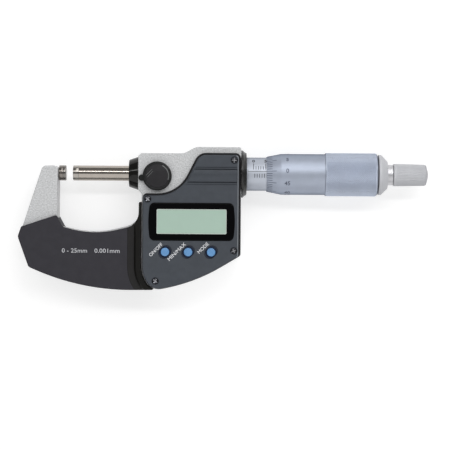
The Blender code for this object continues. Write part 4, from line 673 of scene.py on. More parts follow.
def grip_corners():
    """Outer edge of a grip; its right end is later cut back to the housing."""
    hidden_x = HOUSING_LEFT + 8.0
    side_x = THROAT_RIGHT[0] + 0.05
    return [
        (hidden_x, GRIP_END_Y + 0.8, 0.0),
        (side_x, GRIP_END_Y, 0.7),
        (side_x, THROAT_RIGHT[1] - GRIP_STEP, THROAT_RIGHT_CORNER + 0.5),
        (THROAT_MIDDLE[0], THROAT_MIDDLE[1] - GRIP_STEP, THROAT_BEND),
        (ARM_FACE_X + GRIP_NOTCH, THROAT_LEFT_Y - GRIP_STEP, THROAT_LEFT_CORNER),
        (ARM_FACE_X - GRIP_TIP_INSET, GRIP_TIP_Y, 0.8),
        (arm_edge_x(GRIP_TOP_Y) - GRIP_PROUD, GRIP_TOP_Y, 0.8),
        (arm_edge_x(GRIP_HEEL_Y) - GRIP_HEEL_PROUD, GRIP_HEEL_Y, 2.4),
        (*GRIP_CORNER, 2.0),
        (*GRIP_LOW, GRIP_BEND),
        (*GRIP_FOOT, 0.0),
        (hidden_x, GRIP_FOOT[1] + 3.6, 0.0),
    ]


def frame_corners():
    """Edge of the C: the arm, the bow inside the grips, and the throat."""
    heel_x = arm_edge_x(GRIP_HEEL_Y) - GRIP_HEEL_PROUD
    hidden_x = HOUSING_LEFT + 5.0
    return [
        (hidden_x, GRIP_END_Y - 0.2, 0.0),
        (THROAT_RIGHT[0] + 0.1, GRIP_END_Y - 1.4, 0.0),
        (*THROAT_RIGHT, THROAT_RIGHT_CORNER),
        (*THROAT_MIDDLE, THROAT_BEND),
        (ARM_FACE_X, THROAT_LEFT_Y, THROAT_LEFT_CORNER),
        (ARM_FACE_X, ARM_TOP_Y, 1.6),
        (ARM_OUTER_X, ARM_TOP_Y, 2.0),
        (arm_edge_x(GRIP_TOP_Y + SEAT_GAP), GRIP_TOP_Y + SEAT_GAP, 0.0),
        (arm_edge_x(GRIP_TOP_Y) + GRIP_OUTSET, GRIP_TOP_Y - SEAT_GAP, 0.0),
        (heel_x + GRIP_OUTSET * 1.1, GRIP_HEEL_Y + 0.1, 1.6),
        (GRIP_CORNER[0] + GRIP_OUTSET, GRIP_CORNER[1] + GRIP_OUTSET * 0.8, 1.6),
        (GRIP_LOW[0], GRIP_LOW[1] + GRIP_OUTSET, GRIP_BEND),
        (hidden_x, GRIP_FOOT[1] + GRIP_OUTSET, 0.0),
    ]


def tray_corners():
    return [
        (TRAY_RIGHT, TRAY_TOP_Y, 0.6), (63.4, TRAY_TOP_Y, 0.0), (63.4, 6.1, 0.0), (56.6, 6.1, 2.0),
        (56.6, TRAY_TOP_Y, 0.0), (TRAY_LEFT, TRAY_TOP_Y, 0.6), (TRAY_LEFT, HOUSING_SHOULDER_Y, 10.0),
        (37.16, -46.39, 4.0), (HOUSING_BELLY[0], -43.43, HOUSING_BEND), (TRAY_RIGHT, -32.64, 1.0),
    ]


def make_frame():
    """One casting, open behind the cover."""
    housing = slab(rounded(housing_corners()), REAR_Z, RIM_Z, 0.8, 0.4)
    bow = slab(rounded(frame_corners()), -FRAME_HALF_DEPTH, FRAME_HALF_DEPTH, 0.5, 0.5)
    casting = combined(housing, [
        (JOIN, bow),
        (CUT, slab(rounded(tray_corners()), FLOOR_Z, RIM_Z + 2.0)),
        (CUT, rod(WIPER_HOLE_RADIUS, BOSS_X - 1.0, BOSS_X + WIPER_SHANK_LENGTH + SEAT_GAP)),
        (CUT, rod(BORE_RADIUS, BOSS_X + WIPER_SHANK_LENGTH, 57.6)),
        (CUT, rod(STEM_HOLE_RADIUS, 62.4, HOUSING_RIGHT + 1.0)),
        (CUT, rod(ANVIL_HOLE_RADIUS, -8.7, 1.0)),
        (CUT, rod(CLAMP_HOLE_RADIUS, 0.8, RIM_Z + 1.0, "Z", (*CLAMP_CENTRE, 0.0))),
        (CUT, rod(CAP_RADIUS + SEAT_GAP, REAR_Z - 1.0, FLOOR_Z + 1.0, "Z", (*BATTERY_CENTRE, 0.0))),
    ])
    piece("frame_casting", casting, "frame", PAINT, "frame", slot="hammered_paint", weighted=True)


def make_grip(name, side, node):
    """A moulded half grip that swells up to the housing."""
    outline = rounded(grip_corners())
    beside = rounded(housing_corners())
    foot = GRIP_HALF_DEPTH - 1.4
    top = GRIP_HALF_DEPTH + RAMP_HEIGHT
    rises = [(foot, -RAMP_LENGTH - 0.1), (GRIP_HALF_DEPTH, -RAMP_LENGTH), (GRIP_HALF_DEPTH + 0.22, -5.55),
             (GRIP_HALF_DEPTH + 0.66, -3.0), (top - 0.22, -2.4), (top, -2.1)]
    ramp = combined(layered(beside, rises), [(KEEP, slab(inset_points(outline, 0.1), foot - 1.0, 12.0))])
    reach = FRAME_HALF_DEPTH + SEAT_GAP
    pocket = slab(inset_points(rounded(frame_corners()), -SEAT_GAP), -reach, reach)
    grip = combined(slab(outline, SEAT_GAP / 2.0, GRIP_HALF_DEPTH, 0.0, 0.7), [
        (JOIN, ramp),
        (CUT, pocket),
        (CUT, slab(inset_points(beside, -SEAT_GAP), -15.0, 15.0)),
    ])
    for vert in grip.verts:
        vert.co.z *= side
    made = piece(name, grip, "frame", GRIP, node, slot="grip_plastic", weighted=True)
    # The ramp's faces get painted shade, darkest on its top.
    refinish(made, RAMP_PAINTED_SHADE, lambda face: abs(face.center.z) / MM > GRIP_HALF_DEPTH + 0.02)
    refinish(made, RAMP_TOP_PAINTED_SHADE, lambda face: abs(face.center.z) / MM > GRIP_HALF_DEPTH + 0.68)


def make_measuring_faces():
    seat = ARM_FACE_X + SEAT_GAP
    spindle_tip_end = REST_OPENING + SPINDLE_TIP_LENGTH
    anvil = rounded([
        (-8.5, 0.0), (-8.5, ANVIL_SHANK_RADIUS), (seat, ANVIL_SHANK_RADIUS), (seat, FACE_RADIUS, 0.15),
        (-1.23, FACE_RADIUS, 0.05), (-1.23, 0.0),
    ])
    piece("anvil_shank", turned(anvil), "frame", DULL_STEEL, "anvil", slot="ground_steel")
    for name, node, body, low, high, front, finish in (
        ("anvil_face_tip", "anvil_tip", "frame", -ANVIL_TIP_LENGTH, 0.0, 1, CARBIDE),
        ("spindle_face_tip", "spindle_tip", "spindle", REST_OPENING, spindle_tip_end, 0, TIP_STEEL),
    ):
        bevels = (0.06, 0.18) if front else (0.18, 0.06)
        tip = rounded([(low, 0.0), (low, FACE_RADIUS, bevels[0]), (high, FACE_RADIUS, bevels[1]),
                       (high, 0.0)])
        piece(name, turned(tip), body, finish, node, slot="carbide")
    spindle = rounded([
        (5.33, 0.0), (5.33, FACE_RADIUS, 0.05), (77.1, FACE_RADIUS, 0.1), (77.4, RELIEF_RADIUS),
        (80.8, RELIEF_RADIUS), (81.1, THREAD_RADIUS), (121.3, THREAD_RADIUS, 0.1),
        (SPINDLE_END_X, CONE_END_RADIUS, 0.1), (SPINDLE_END_X, HUB_BORE), (118.6, HUB_BORE),
        (118.6, 0.0),
    ])
    piece("spindle_rod", turned(spindle), "spindle", STEEL, "spindle", slot="ground_steel")


def make_wiper():
    """Cone at the boss, with a small step at each end."""
    face = BOSS_X - 0.03
    shank_end = BOSS_X + WIPER_SHANK_LENGTH
    wiper = rounded([
        (WIPER_NOSE_X, BORE_RADIUS), (WIPER_NOSE_X, WIPER_NOSE_RADIUS, 0.35),
        (face - 0.35, WIPER_RADIUS, 0.12), (face, WIPER_RADIUS, 0.1), (face, WIPER_SHANK_RADIUS),
        (shank_end, WIPER_SHANK_RADIUS), (shank_end, BORE_RADIUS), (28.8, BORE_RADIUS),
        (28.8, 4.575), (27.5, 4.575), (27.5, BORE_RADIUS),
    ])
    piece("wiper_cone", turned(wiper), "frame", GLOSS_BLACK, "spindle_wiper", slot="black_plastic")


def make_cover():
    """Cover with its edge, raised band, grooves, window seat, key dishes and screw seats."""
    corners = cover_corners()
    limit = rounded(offset_corners(corners, 0.75))
    half = (BAND_HIGH_Y - BAND_LOW_Y) / 2.0
    middle = (BAND_HIGH_Y + BAND_LOW_Y) / 2.0
    section = [(half, -0.4), (half, 0.05), (half - 0.55, BAND_RISE - 0.1), (half - 1.3, BAND_RISE),
               (1.3 - half, BAND_RISE), (0.45 - half, BAND_RISE - 0.2), (-half, 0.05), (-half, -0.4)]
    band = bmesh.new()
    ends = [[band.verts.new((x, middle + y, COVER_TOP_Z + z)) for y, z in section] for x in (BAND_START_X, BAND_END_X)]
    for i in range(len(section)):
        j = (i + 1) % len(section)
        band.faces.new((ends[0][i], ends[0][j], ends[1][j], ends[1][i]))
    band.faces.new(ends[0])
    band.faces.new(ends[1])
    band = combined(band, [(KEEP, slab(limit, COVER_Z - 1.0, COVER_TOP_Z + 2.0))])
    steps = [(JOIN, band)]
    for line_y, width, depth in GROOVES:
        low_y, high_y = line_y - width / 2.0, line_y + width / 2.0
        on_band = BAND_LOW_Y + 1.0 < line_y < BAND_HIGH_Y - 1.0
        floor_z = COVER_TOP_Z - depth + (BAND_RISE if on_band else 0.0)
        outline = [(BAND_END_X, low_y), (BAND_END_X, high_y), (BAND_START_X, high_y), (BAND_START_X, low_y)]
        groove = slab(outline, floor_z, COVER_TOP_Z + 1.0)
        steps.append((CUT, combined(groove, [(KEEP, slab(limit, COVER_Z, COVER_TOP_Z + 2.0))])))
    steps.append((CUT, slab(rounded(window_corners(0.15)), 9.2, COVER_TOP_Z + 1.0)))
    opening = rounded(rectangle(WINDOW_CENTRE, 14.65, 5.3, 0.5))
    steps.append((CUT, slab(opening, COVER_Z - 1.0, COVER_TOP_Z)))
    for x in KEY_X.values():
        dish = rounded(rectangle((0.0, 0.0), 3.05, 2.25, 2.24))
        lift = layered(dish, [(-0.5, 0.3), (-0.42, 0.1), (0.0, 0.0), (0.6, -0.5)])
        steps.append((CUT, lay_down(lift, KEY_ANGLE, (x, KEY_Y, COVER_TOP_Z))))
        steps.append((CUT, rod(KEY_RADIUS + 0.15, COVER_Z - 1.0, COVER_TOP_Z, "Z", (x, KEY_Y, 0.0), 48)))
    for x, y in SCREW_PLACES:
        seat = turned([(7.0, 0.0), (7.0, 0.85), (9.1, 0.85), (9.1, 1.4), (COVER_TOP_Z - 0.25, 1.4),
                       (COVER_TOP_Z + 0.2, 1.85), (COVER_TOP_Z + 0.2, 0.0)], 40, "Z", (x, y, 0.0))
        steps.append((CUT, seat))
    cover = combined(slab(rounded(corners), COVER_Z, COVER_TOP_Z, 0.0, 0.6), steps)
    made = piece("cover_moulding", cover, "frame", COVER, "front_case", slot="cover_plastic", weighted=True)
    # The bevel faces on the right edge get the painted highlight.
    refinish(made, COVER_EDGE_HIGHLIGHT, lambda face: face.normal.x > 0.2 and face.normal.z > 0.2
             and face.center.x > (HOUSING_RIGHT - 3.0) * MM)
    gasket = combined(slab(rounded(gasket_corners()), GASKET_Z, GASKET_Z + 0.8, 0.15, 0.25), [
        (CUT, slab(rounded(offset_corners(gasket_corners(), 2.2)), 6.0, 9.0)),
    ])
    piece("gasket_ring", gasket, "frame", RUBBER, "case_gasket", slot="black_rubber", weighted=True)


def window_corners(spread=0.0):
    x, y = WINDOW_CENTRE
    half_width = WINDOW_HALF_WIDTH + spread
    half_height = WINDOW_HALF_HEIGHT + spread
    corner = WINDOW_CORNER + spread
    return [
        (x + half_width, y + half_height, corner),
        (x - half_width, y + half_height, corner),
        (x - half_width - WINDOW_BULGE, y, 40.0),
        (x - half_width, y - half_height, corner),
        (x + half_width, y - half_height, corner),
        (x + half_width + WINDOW_BULGE, y, 40.0),
    ]


def rectangle(centre, half_width, half_height, radius):
    x, y = centre
    return [
        (x + half_width, y + half_height, radius),
        (x - half_width, y + half_height, radius),
        (x - half_width, y - half_height, radius),
        (x + half_width, y - half_height, radius),
    ]


def make_window():
    """Bezel with a bevelled opening, a pale line round it and the display in it."""
    top = COVER_TOP_Z + 0.1
    centre = (WINDOW_CENTRE[0], WINDOW_CENTRE[1] + 0.07)
    opening = rounded(rectangle(centre, DISPLAY_HALF_WIDTH, DISPLAY_HALF_HEIGHT, 0.5))
    inner = rounded(rectangle(centre, DISPLAY_HALF_WIDTH - 0.35, DISPLAY_HALF_HEIGHT - 0.35, 0.3))
    bezel = combined(slab(rounded(window_corners()), top - 0.9, top, 0.0, 0.3), [
        (CUT, layered(opening, [(top - 2.0, 0.0), (top - 0.12, 0.0), (top + 0.1, -0.22)])),
    ])
    piece("window_bezel", bezel, "frame", BEZEL, "display_window", slot="window_plastic", weighted=True)
    edge = combined(slab(inset_points(opening, 0.02), top - 0.8, top - 0.22), [
        (CUT, slab(inner, top - 2.0, top + 1.0)),
    ])
    piece("display_edge", edge, "frame", DISPLAY_EDGE)
    panel = slab(inset_points(inner, 0.02), 7.0, top - 0.3)
    piece("display_panel", panel, "frame", DISPLAY, "lcd_panel", slot="lcd_glass")


def make_keys():
    base = KEY_BASE_Z
    for name, x in KEY_X.items():
        profile = rounded([
            (base, 0.0), (base, 2.5), (base + 0.6, 2.5), (base + 0.6, KEY_RADIUS),
            (10.5, KEY_RADIUS, 0.35), (10.58, 0.0),
        ])
        key = turned(profile, 64, "Z", (x, KEY_Y, 0.0))
        piece(f"{name}_cap", key, name, KEY_BLUE, name, slot="key_plastic")
        ring = turned([(9.78, KEY_RADIUS + 0.16), (9.78, KEY_RADIUS + 0.62), (9.96, KEY_RADIUS + 0.5),
                       (10.0, KEY_RADIUS + 0.2)], 64, "Z", (x, KEY_Y, 0.0))
        piece(f"{name}_ring", ring, "frame", KEY_NAVY)
        # A thin dark liner on the dish floor paints the shade around the key.
        floor = layered(rounded(rectangle((0.0, 0.0), 2.95, 2.15, 2.1)), [(9.69, 0.22), (9.78, 0.02)])
        liner = combined(lay_down(floor, KEY_ANGLE, (x, KEY_Y, 0.0)), [
            (CUT, rod(KEY_RADIUS + 0.15, 9.0, 11.0, "Z", (x, KEY_Y, 0.0), 64)),
        ])
        piece(f"{name}_dish", liner, "frame", KEY_DISH_PAINTED_SHADE)


def cross_points(reach, half):
    """Outline of a plus sign, one arm at a time."""
    points = []
    for quarter in range(4):
        angle = pi / 2.0 * quarter
        for x, y in ((half, half), (half, reach), (-half, reach)):
            across = x * cos(angle) - y * sin(angle)
            up = x * sin(angle) + y * cos(angle)
            points.append((across, up))
    return points


def make_screws():
    for number, (x, y) in enumerate(SCREW_PLACES, 1):
        head = rounded([
            (4.3, 0.0), (4.3, 0.75), (9.3, 0.75), (9.3, SCREW_HEAD_RADIUS),
            (9.95, SCREW_HEAD_RADIUS, 0.3), (10.1, 0.0),
        ])
        recess = layered(cross_points(CROSS_REACH, 0.26), [(-0.6, 0.16), (0.0, 0.0), (0.5, 0.0)])
        turn = radians(20.0 + 31.0 * number)
        screw = combined(turned(head, 48, "Z", (x, y, 0.0)), [
            (CUT, lay_down(recess, turn, (x, y, 10.08))),
        ])
        made = piece(f"screw_{number}", screw, "frame", SCREW, f"case_screw_{number}", slot="black_steel")
        # The faces inside the cross get the painted glint.
        refinish(made, SCREW_CROSS_GLINT, lambda face: 9.35 < face.center.z / MM < 9.9
                 and hypot(face.center.x / MM - x, face.center.y / MM - y) < CROSS_REACH + 0.01)


def make_clamp():
    """Round knob with a raised rim, a shallow domed face and a finger nub."""
    x, y = CLAMP_CENTRE
    low = CLAMP_LOW_Z
    knob = turned(rounded([
        (low, 0.0), (low, CLAMP_RADIUS, 0.2), (low + 1.7, CLAMP_RADIUS, 0.5),
        (low + 2.0, CLAMP_RADIUS - 0.75, 0.2), (low + 1.85, CLAMP_FACE_RADIUS + 0.15, 0.1),
        (low + 2.2, CLAMP_FACE_RADIUS - 0.1, 0.1), (low + 2.45, CLAMP_RADIUS * 0.35, 4.0), (low + 2.5, 0.0),
    ]), ROUND_STEPS, "Z", (x, y, 0.0))
    half, bend = NUB_HALF_WIDTH, NUB_HALF_WIDTH * 0.99
    nub = rounded([(0.0, half), (-NUB_REACH, half, bend), (-NUB_REACH, -half, bend), (0.0, -half)])
    nub = lay_down(slab(nub, 0.2, 1.55, 0.2, 0.4), NUB_ANGLE, (x, y, low))
    socket = rod(CLAMP_HOLE_RADIUS, low - 1.0, low + 1.7, "Z", (x, y, 0.0), 48)
    knob = combined(knob, [(JOIN, nub), (CUT, socket)])
    made = piece("clamp_dial", knob, "clamp", DIAL, "clamp_knob", slot="black_plastic", weighted=True)

    def on_rim(face):
        return hypot(face.center.x / MM - x, face.center.y / MM - y) > CLAMP_FACE_RADIUS + 0.2

    def on_gleam(face):
        across, up = face.center.x / MM - x, face.center.y / MM - y
        near_edge = CLAMP_FACE_RADIUS - 0.15 < hypot(across, up) <= CLAMP_FACE_RADIUS + 0.2
        return near_edge and abs(degrees(atan2(up, across)) - GLEAM_ANGLE) < GLEAM_SPREAD

    refinish(made, DIAL_RIM, on_rim)
    # A crescent of faces at the face's edge gets the painted highlight.
    refinish(made, DIAL_HIGHLIGHT, on_gleam)
    # Two thin ribs in the same lighter plastic: painted highlights across the face.
    for number, (start, end) in enumerate((((-4.5, 0.2), (-2.0, 2.7)), ((-3.9, -0.4), (-1.7, 1.9))), 1):
        run = Vector(end) - Vector(start)
        rib = rounded([(0.0, 0.09), (0.0, -0.09), (run.length, -0.09, 0.08), (run.length, 0.09, 0.08)])
        spot = (x + start[0], y + start[1], low + 2.2)
        rib = lay_down(layered(rib, [(0.0, 0.0), (0.3, 0.02)]), atan2(run.y, run.x), spot)
        piece(f"clamp_rib_{number}", rib, "clamp", DIAL_HIGHLIGHT)


def surface_patch(bm, x_range, angles, radius_at, rise=0.02, sink=0.04, steps=1):
    """A thin inlay on a turned surface, between two places and two angles."""
    grids = []
    for lift in (rise, -sink):
        grid = []
        for k in range(steps + 1):
            angle = angles[0] + (angles[1] - angles[0]) * k / steps
            row = []
            for x in x_range:
                reach = radius_at(x) + lift
                row.append(bm.verts.new((x, reach * sin(angle), reach * cos(angle))))
            grid.append(row)
        grids.append(grid)
    top, bottom = grids
    for k in range(steps):
        bm.faces.new((top[k][0], top[k][1], top[k + 1][1], top[k + 1][0]))
        bm.faces.new((bottom[k][0], bottom[k + 1][0], bottom[k + 1][1], bottom[k][1]))
        for side in (0, 1):
            bm.faces.new((top[k][side], top[k + 1][side], bottom[k + 1][side], bottom[k][side]))
    for k in (0, steps):
        bm.faces.new((top[k][0], top[k][1], bottom[k][1], bottom[k][0]))


def lettering(text, height, thickness=0.06, weight=0.0, length=None):
    """Flat solid letters round the origin, in millimetres; weight makes the strokes wider."""
    curve = bpy.data.curves.new("lettering", "FONT")
    curve.body = text
    curve.size = height / 0.7
    curve.extrude = thickness
    curve.offset = weight
    curve.align_x = "CENTER"
    curve.align_y = "CENTER"
    curve.resolution_u = 3
    holder = bpy.data.objects.new("lettering", curve)
    bpy.context.scene.collection.objects.link(holder)
    graph = bpy.context.evaluated_depsgraph_get()
    bm = bmesh.new()
    bm.from_mesh(holder.evaluated_get(graph).to_mesh())
    bpy.data.objects.remove(holder)
    bpy.data.curves.remove(curve)
    bmesh.ops.remove_doubles(bm, verts=bm.verts, dist=0.0005)
    if length:
        reaches = [vert.co.x for vert in bm.verts]
        middle = (max(reaches) + min(reaches)) / 2.0
        share = length / (max(reaches) - min(reaches))
        for vert in bm.verts:
            vert.co.x = (vert.co.x - middle) * share
    return bm


def wrapped(bm, at_x, at_angle, radius_at):
    """Bend flat artwork round the measuring line."""
    for vert in bm.verts:
        x = at_x + vert.co.x
        reach = radius_at(x)
        angle = at_angle + vert.co.y / reach
        reach += vert.co.z
        vert.co = (x, reach * sin(angle), reach * cos(angle))
    return bm


def merged(meshes):
    """One mesh from several."""
    whole = bmesh.new()
    for bm in meshes:
        mesh = bpy.data.meshes.new("part")
        bm.to_mesh(mesh)
        bm.free()
        whole.from_mesh(mesh)
        bpy.data.meshes.remove(mesh)
    return whole


def sleeve_radius(x):
    return SLEEVE_RADIUS


def thimble_radius(x):
    share = min(max((x - THIMBLE_EDGE_X) / (THIMBLE_BEVEL_X - THIMBLE_EDGE_X), 0.0), 1.0)
    return THIMBLE_EDGE_RADIUS + (THIMBLE_RADIUS - THIMBLE_EDGE_RADIUS) * share


def make_sleeve():
    """Graduated sleeve and the black ring at its root."""
    sleeve = rounded([
        (SLEEVE_START_X, SLEEVE_BORE), (SLEEVE_START_X, SLEEVE_RADIUS, 0.15),
        (SLEEVE_END_X, SLEEVE_RADIUS, 0.15), (SLEEVE_END_X, SLEEVE_BORE),
    ])
    piece("sleeve_tube", turned(sleeve, 128), "frame", SLEEVE_CHROME, "sleeve", slot="satin_chrome")
    collar = rounded([
        (72.77, SLEEVE_BORE), (72.77, COLLAR_RADIUS, 0.2), (73.55, COLLAR_RADIUS, 0.15), (73.65, 9.5, 0.1),
        (73.85, 9.5, 0.1), (74.0, 9.2, 0.2), (COLLAR_END_X, 8.7, 0.2), (COLLAR_END_X, SLEEVE_BORE),
    ])
    piece("collar_ring", turned(collar, 128), "frame", BLACK, "sleeve_collar", slot="black_plastic")
    datum = bmesh.new()
    line = 0.14 / SLEEVE_RADIUS
    surface_patch(datum, (SLEEVE_START_X + 0.4, SLEEVE_END_X - 1.0), (DATUM_ANGLE - line, DATUM_ANGLE + line),
                  sleeve_radius)
    piece("sleeve_datum", datum, "frame", GREY_INK)
    half = TICK_HALF
    ticks = bmesh.new()
    for index in range(26):
        x = SCALE_ZERO_X + index
        top = 30.0 if index % 5 == 0 else 19.0
        above = (DATUM_ANGLE + radians(6.5), DATUM_ANGLE + radians(top))
        surface_patch(ticks, (x - half, x + half), above, sleeve_radius, steps=6)
        if index < 25:
            below = (DATUM_ANGLE - radians(22.0), DATUM_ANGLE - radians(8.0))
            surface_patch(ticks, (x + 0.5 - half, x + 0.5 + half), below, sleeve_radius, steps=4)
    piece("sleeve_graduations", ticks, "frame", DARK_INK)
    row = DATUM_ANGLE + radians(41.0)
    numbers = [
        wrapped(lettering(str(value), 1.6, 0.06, 0.05), SCALE_ZERO_X + value, row, sleeve_radius)
        for value in range(0, 26, 5)
    ]
    piece("sleeve_numbers", merged(numbers), "frame", DARK_INK)


def make_thimble():
    """Bevelled edge, plain barrel and a band of true knurled diamonds in one shell."""
    pitch = 2.0 * pi * KNURL_RADIUS / KNURL_COLUMNS
    rows = round((THIMBLE_END_X - THIMBLE_CHAMFER - KNURL_X - 0.3) / pitch)
    first = KNURL_X + 0.3
    step = (THIMBLE_END_X - THIMBLE_CHAMFER - first) / rows
    start = rounded([
        (THIMBLE_EDGE_X, THIMBLE_BORE), (THIMBLE_EDGE_X, THIMBLE_EDGE_RADIUS, 0.05),
        (THIMBLE_BEVEL_X, THIMBLE_RADIUS, 3.0), (KNURL_X, THIMBLE_RADIUS),
        (KNURL_X + 0.05, THIMBLE_BORE),
    ])[:-1]
    band = [(first + step * row, KNURL_RADIUS) for row in range(rows + 1)]
    rest = [
        (THIMBLE_END_X, KNURL_RADIUS - 0.5), (THIMBLE_END_X, 3.07), (121.3, 3.8), (121.55, 3.8),
        (121.55, THIMBLE_BORE),
    ]
    band_start = len(start)
    band_end = band_start + len(band)

    def diamonds(index, column):
        if band_start <= index < band_end:
            if index in (band_start, band_end - 1):
                return -KNURL_DEPTH * 0.6
            return -KNURL_DEPTH if (index + column) % 2 else 0.0
        return 0.0

    shell = turned(start + band + rest, KNURL_COLUMNS, wave=diamonds)
    made = piece("thimble_shell", shell, "spindle", CHROME, "thimble", slot="satin_chrome")
    refinish(made, KNURLED, lambda face: first < face.center.x / MM < THIMBLE_END_X - THIMBLE_CHAMFER)
    for face in made.data.polygons:
        face.use_smooth = face.material_index == 0
    ticks = bmesh.new()
    for index in range(50):
        angle = DATUM_ANGLE + 2.0 * pi * index / 50.0
        end = 4.1 if index % 5 == 0 else 2.4
        x_range = (THIMBLE_EDGE_X + 0.08, THIMBLE_EDGE_X + end)
        half = TICK_HALF / THIMBLE_EDGE_RADIUS
        surface_patch(ticks, x_range, (angle - half, angle + half), thimble_radius)
    piece("thimble_graduations", ticks, "spindle", SOFT_INK)
    numbers = [
        wrapped(lettering(str(index * 5), 1.7, 0.06, 0.05), THIMBLE_EDGE_X + 8.6,
                DATUM_ANGLE + 2.0 * pi * index / 10.0, thimble_radius)
        for index in range(10)
    ]
    piece("thimble_numbers", merged(numbers), "spindle", SOFT_INK)


def make_ratchet():
    """Hub with flange and cone, fluted knob and its end cap."""
    hub = rounded([
        (118.8, 0.0), (118.8, 1.5), (129.35, 1.5), (129.35, 5.0), (FLANGE_X, 5.0),
        (FLANGE_X, FLANGE_RADIUS, 0.25), (130.9, FLANGE_RADIUS, 0.4), (133.55, 5.75, 0.2),
        (133.55, NECK_RADIUS, 0.15), (135.85, NECK_RADIUS, 0.15), (135.85, 2.0), (145.35, 2.0), (145.35, 0.9),
        (140.35, 0.9), (140.35, 0.0),
    ])
    made = piece("hub_cone", turned(hub), "spindle", RATCHET, "ratchet_hub", slot="ratchet_plastic")
    refinish(made, NECK, lambda face: NECK_X < face.center.x / MM < KNOB_X)
    hole, bore = 2.1, 3.55
    flute_start, flute_end = KNOB_X + 1.2, KNOB_END_X - 0.5
    profile = rounded([(KNOB_X, hole), (KNOB_X, KNOB_RADIUS, 0.4), (flute_start, KNOB_RADIUS)])[:-1]
    profile = [point for point in profile if point[0] < flute_start - 0.01]
    fluted = [(flute_start, KNOB_RADIUS), (flute_start + 0.15, KNOB_RADIUS), (flute_end, KNOB_END_RADIUS)]
    rest = [(KNOB_END_X - 0.25, KNOB_END_RADIUS - 0.02), (KNOB_END_X, KNOB_END_RADIUS - 0.25),
            (KNOB_END_X, bore), (137.25, bore), (137.25, hole)]
    start = len(profile)

    def flutes(index, step):
        if start + 1 <= index <= start + 2:
            return -0.22 if step % 4 == 2 else -0.04 if step % 4 in (1, 3) else 0.0
        return 0.0

    knob = turned(profile + fluted + rest, KNOB_FLUTES * 4, wave=flutes)
    piece("knob_shell", knob, "ratchet", RATCHET, "ratchet_knob", slot="ratchet_plastic")
    cap = rounded([
        (147.95, 0.0), (147.95, 3.45), (149.45, 3.45), (149.45, 4.15, 0.1), (149.65, 4.15, 0.12),
        (150.55, 1.2, 0.5), (150.55, 0.0),
    ])
    piece("knob_end_cap", turned(cap), "ratchet", RATCHET, "ratchet_cap", slot="ratchet_plastic")


def make_battery_cap():
    """Round cap in the rear, with a coin slot."""
    low, high = REAR_Z + 0.1, REAR_Z + 1.35
    groove_low, groove_high = REAR_Z + 0.44, REAR_Z + 1.13
    profile = rounded([
        (low, 0.0), (low, CAP_RADIUS, 0.25), (groove_low, CAP_RADIUS), (groove_low, 6.1),
        (groove_high, 6.1), (groove_high, CAP_RADIUS), (high, CAP_RADIUS), (high, 0.0),
    ])
    slot = rounded(rectangle((0.0, 0.0), CAP_RADIUS * 0.7, 0.7, 0.69))
    slot_cut = lay_down(slab(slot, low - 1.0, low + 0.6), 0.0, (*BATTERY_CENTRE, 0.0))
    cap = combined(turned(profile, ROUND_STEPS, "Z", (*BATTERY_CENTRE, 0.0)), [(CUT, slot_cut)])
    piece("battery_door", cap, "cap", BLACK, "battery_cap", slot="black_plastic", weighted=True)


def make_printing():
    """Plain numbers on the grip and plain words by the keys."""
    on_grip = (1.75, 0.0, GRIP_HALF_DEPTH, WHITE_INK)
    by_key = (1.4, KEY_ANGLE, COVER_TOP_Z, LABEL_INK)
    for name, text, length, x, y, (height, turn, z, finish) in (
        ("range_print", "0 - 25mm", 10.4, 4.15, -32.3, on_grip),
        ("step_print", "0.001mm", 10.4, 17.6, -32.3, on_grip),
        ("left_label", "ON/OFF", 7.0, 37.9, -31.65, by_key),
        ("middle_label", "MIN/MAX", 9.6, 46.5, -32.4, by_key),
        ("right_label", "MODE", 5.6, 57.3, -30.8, by_key),
    ):
        letters = lettering(text, height, 0.03, 0.01, length)
        piece(name, lay_down(letters, turn, (x, y, z)), "frame", finish)


def dress_inner_nodes():
    """The CAD pieces that stay as they are get a finish of their own."""
    finishes = {
        "lcd_glass": DISPLAY, "black_rubber": RUBBER, "black_plastic": BLACK, "board_laminate": BOARD,
        "ground_steel": STEEL, "brass": BRASS,
    }
    slots = {entry["node"]: entry["material_slot"] for entry in frame["record"]["subparts"]}
    for name, node in frame["nodes"].items():
        if not node.hide_render:
            node.data.materials.clear()
            node.data.materials.append(finishes[slots[name]].material)


def area_light(name, power, size, place, target):
    data = bpy.data.lights.new(name, "AREA")
    data.shape = "RECTANGLE"
    data.size, data.size_y = size
    data.energy = power
    lamp = bpy.data.objects.new(name, data)
    lamp.location = place
    lamp.rotation_euler = (Vector(target) - Vector(place)).to_track_quat("-Z", "Y").to_euler()
    bpy.context.scene.collection.objects.link(lamp)


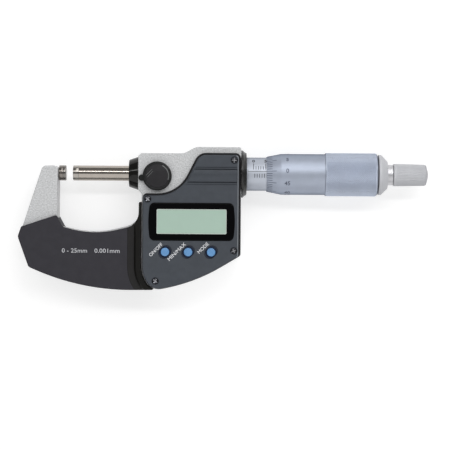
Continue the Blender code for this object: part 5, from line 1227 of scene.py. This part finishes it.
def make_studio():
    """White floor, three long lamps with a dark gap overhead, and the photo's camera."""
    bpy.ops.mesh.primitive_plane_add(size=8.0, location=(0.066, -0.021, REAR_Z * MM))
    floor = bpy.context.object
    floor.name = "studio_floor"
    white = Finish("studio_white", FLOOR_SHADE, 0.9)
    path = white.add("ShaderNodeLightPath").outputs
    mirrored = white.add("ShaderNodeMath", {0: path["Is Glossy Ray"], 1: path["Is Transmission Ray"]},
                         operation="MAXIMUM").outputs[0]
    seen = white.add("ShaderNodeMath", {0: path["Is Camera Ray"], 1: mirrored}, operation="MAXIMUM").outputs[0]
    glow = white.add("ShaderNodeMath", {0: seen, 1: FLOOR_GLOW}, operation="MULTIPLY")
    white.shader.inputs["Emission Color"].default_value = (1.0, 1.0, 1.0, 1.0)
    white.tree.links.new(glow.outputs[0], white.shader.inputs["Emission Strength"])
    floor.data.materials.append(white.material)

    world = bpy.data.worlds.new("studio_surround")
    world.use_nodes = True
    surround = world.node_tree.nodes["Background"]
    surround.inputs["Color"].default_value = (1.0, 1.0, 1.0, 1.0)
    surround.inputs["Strength"].default_value = WORLD_LEVEL
    bpy.context.scene.world = world

    for name, tilt, spread, radiance, start, end in LAMPS:
        angle = radians(tilt)
        size = (end - start, 2.0 * LAMP_DISTANCE * tan(radians(spread)))
        target = Vector(((start + end) / 2.0, -0.02, 0.0))
        towards = Vector((0.0, sin(angle), cos(angle)))
        area_light(name, radiance * pi * size[0] * size[1], size, target + towards * LAMP_DISTANCE, target)

    data = bpy.data.cameras.new("photo_camera")
    data.sensor_width = SENSOR_WIDTH
    data.lens = SENSOR_WIDTH * CAMERA_PLACE[2] / VIEW_WIDTH
    data.clip_start = 0.01
    data.clip_end = 20.0
    camera = bpy.data.objects.new("photo_camera", data)
    camera.location = CAMERA_PLACE
    camera.rotation_euler = (0.0, 0.0, CAMERA_ROLL)
    bpy.context.scene.collection.objects.link(camera)
    bpy.context.scene.camera = camera
    bpy.context.scene.view_settings.view_transform = "Standard"


make_frame()
make_grip("front_grip_moulding", 1.0, "front_grip")
make_grip("rear_grip_moulding", -1.0, "rear_grip")
make_measuring_faces()
make_wiper()
make_cover()
make_window()
make_keys()
make_screws()
make_clamp()
make_sleeve()
make_thimble()
make_ratchet()
make_battery_cap()
make_printing()
dress_inner_nodes()
make_studio()
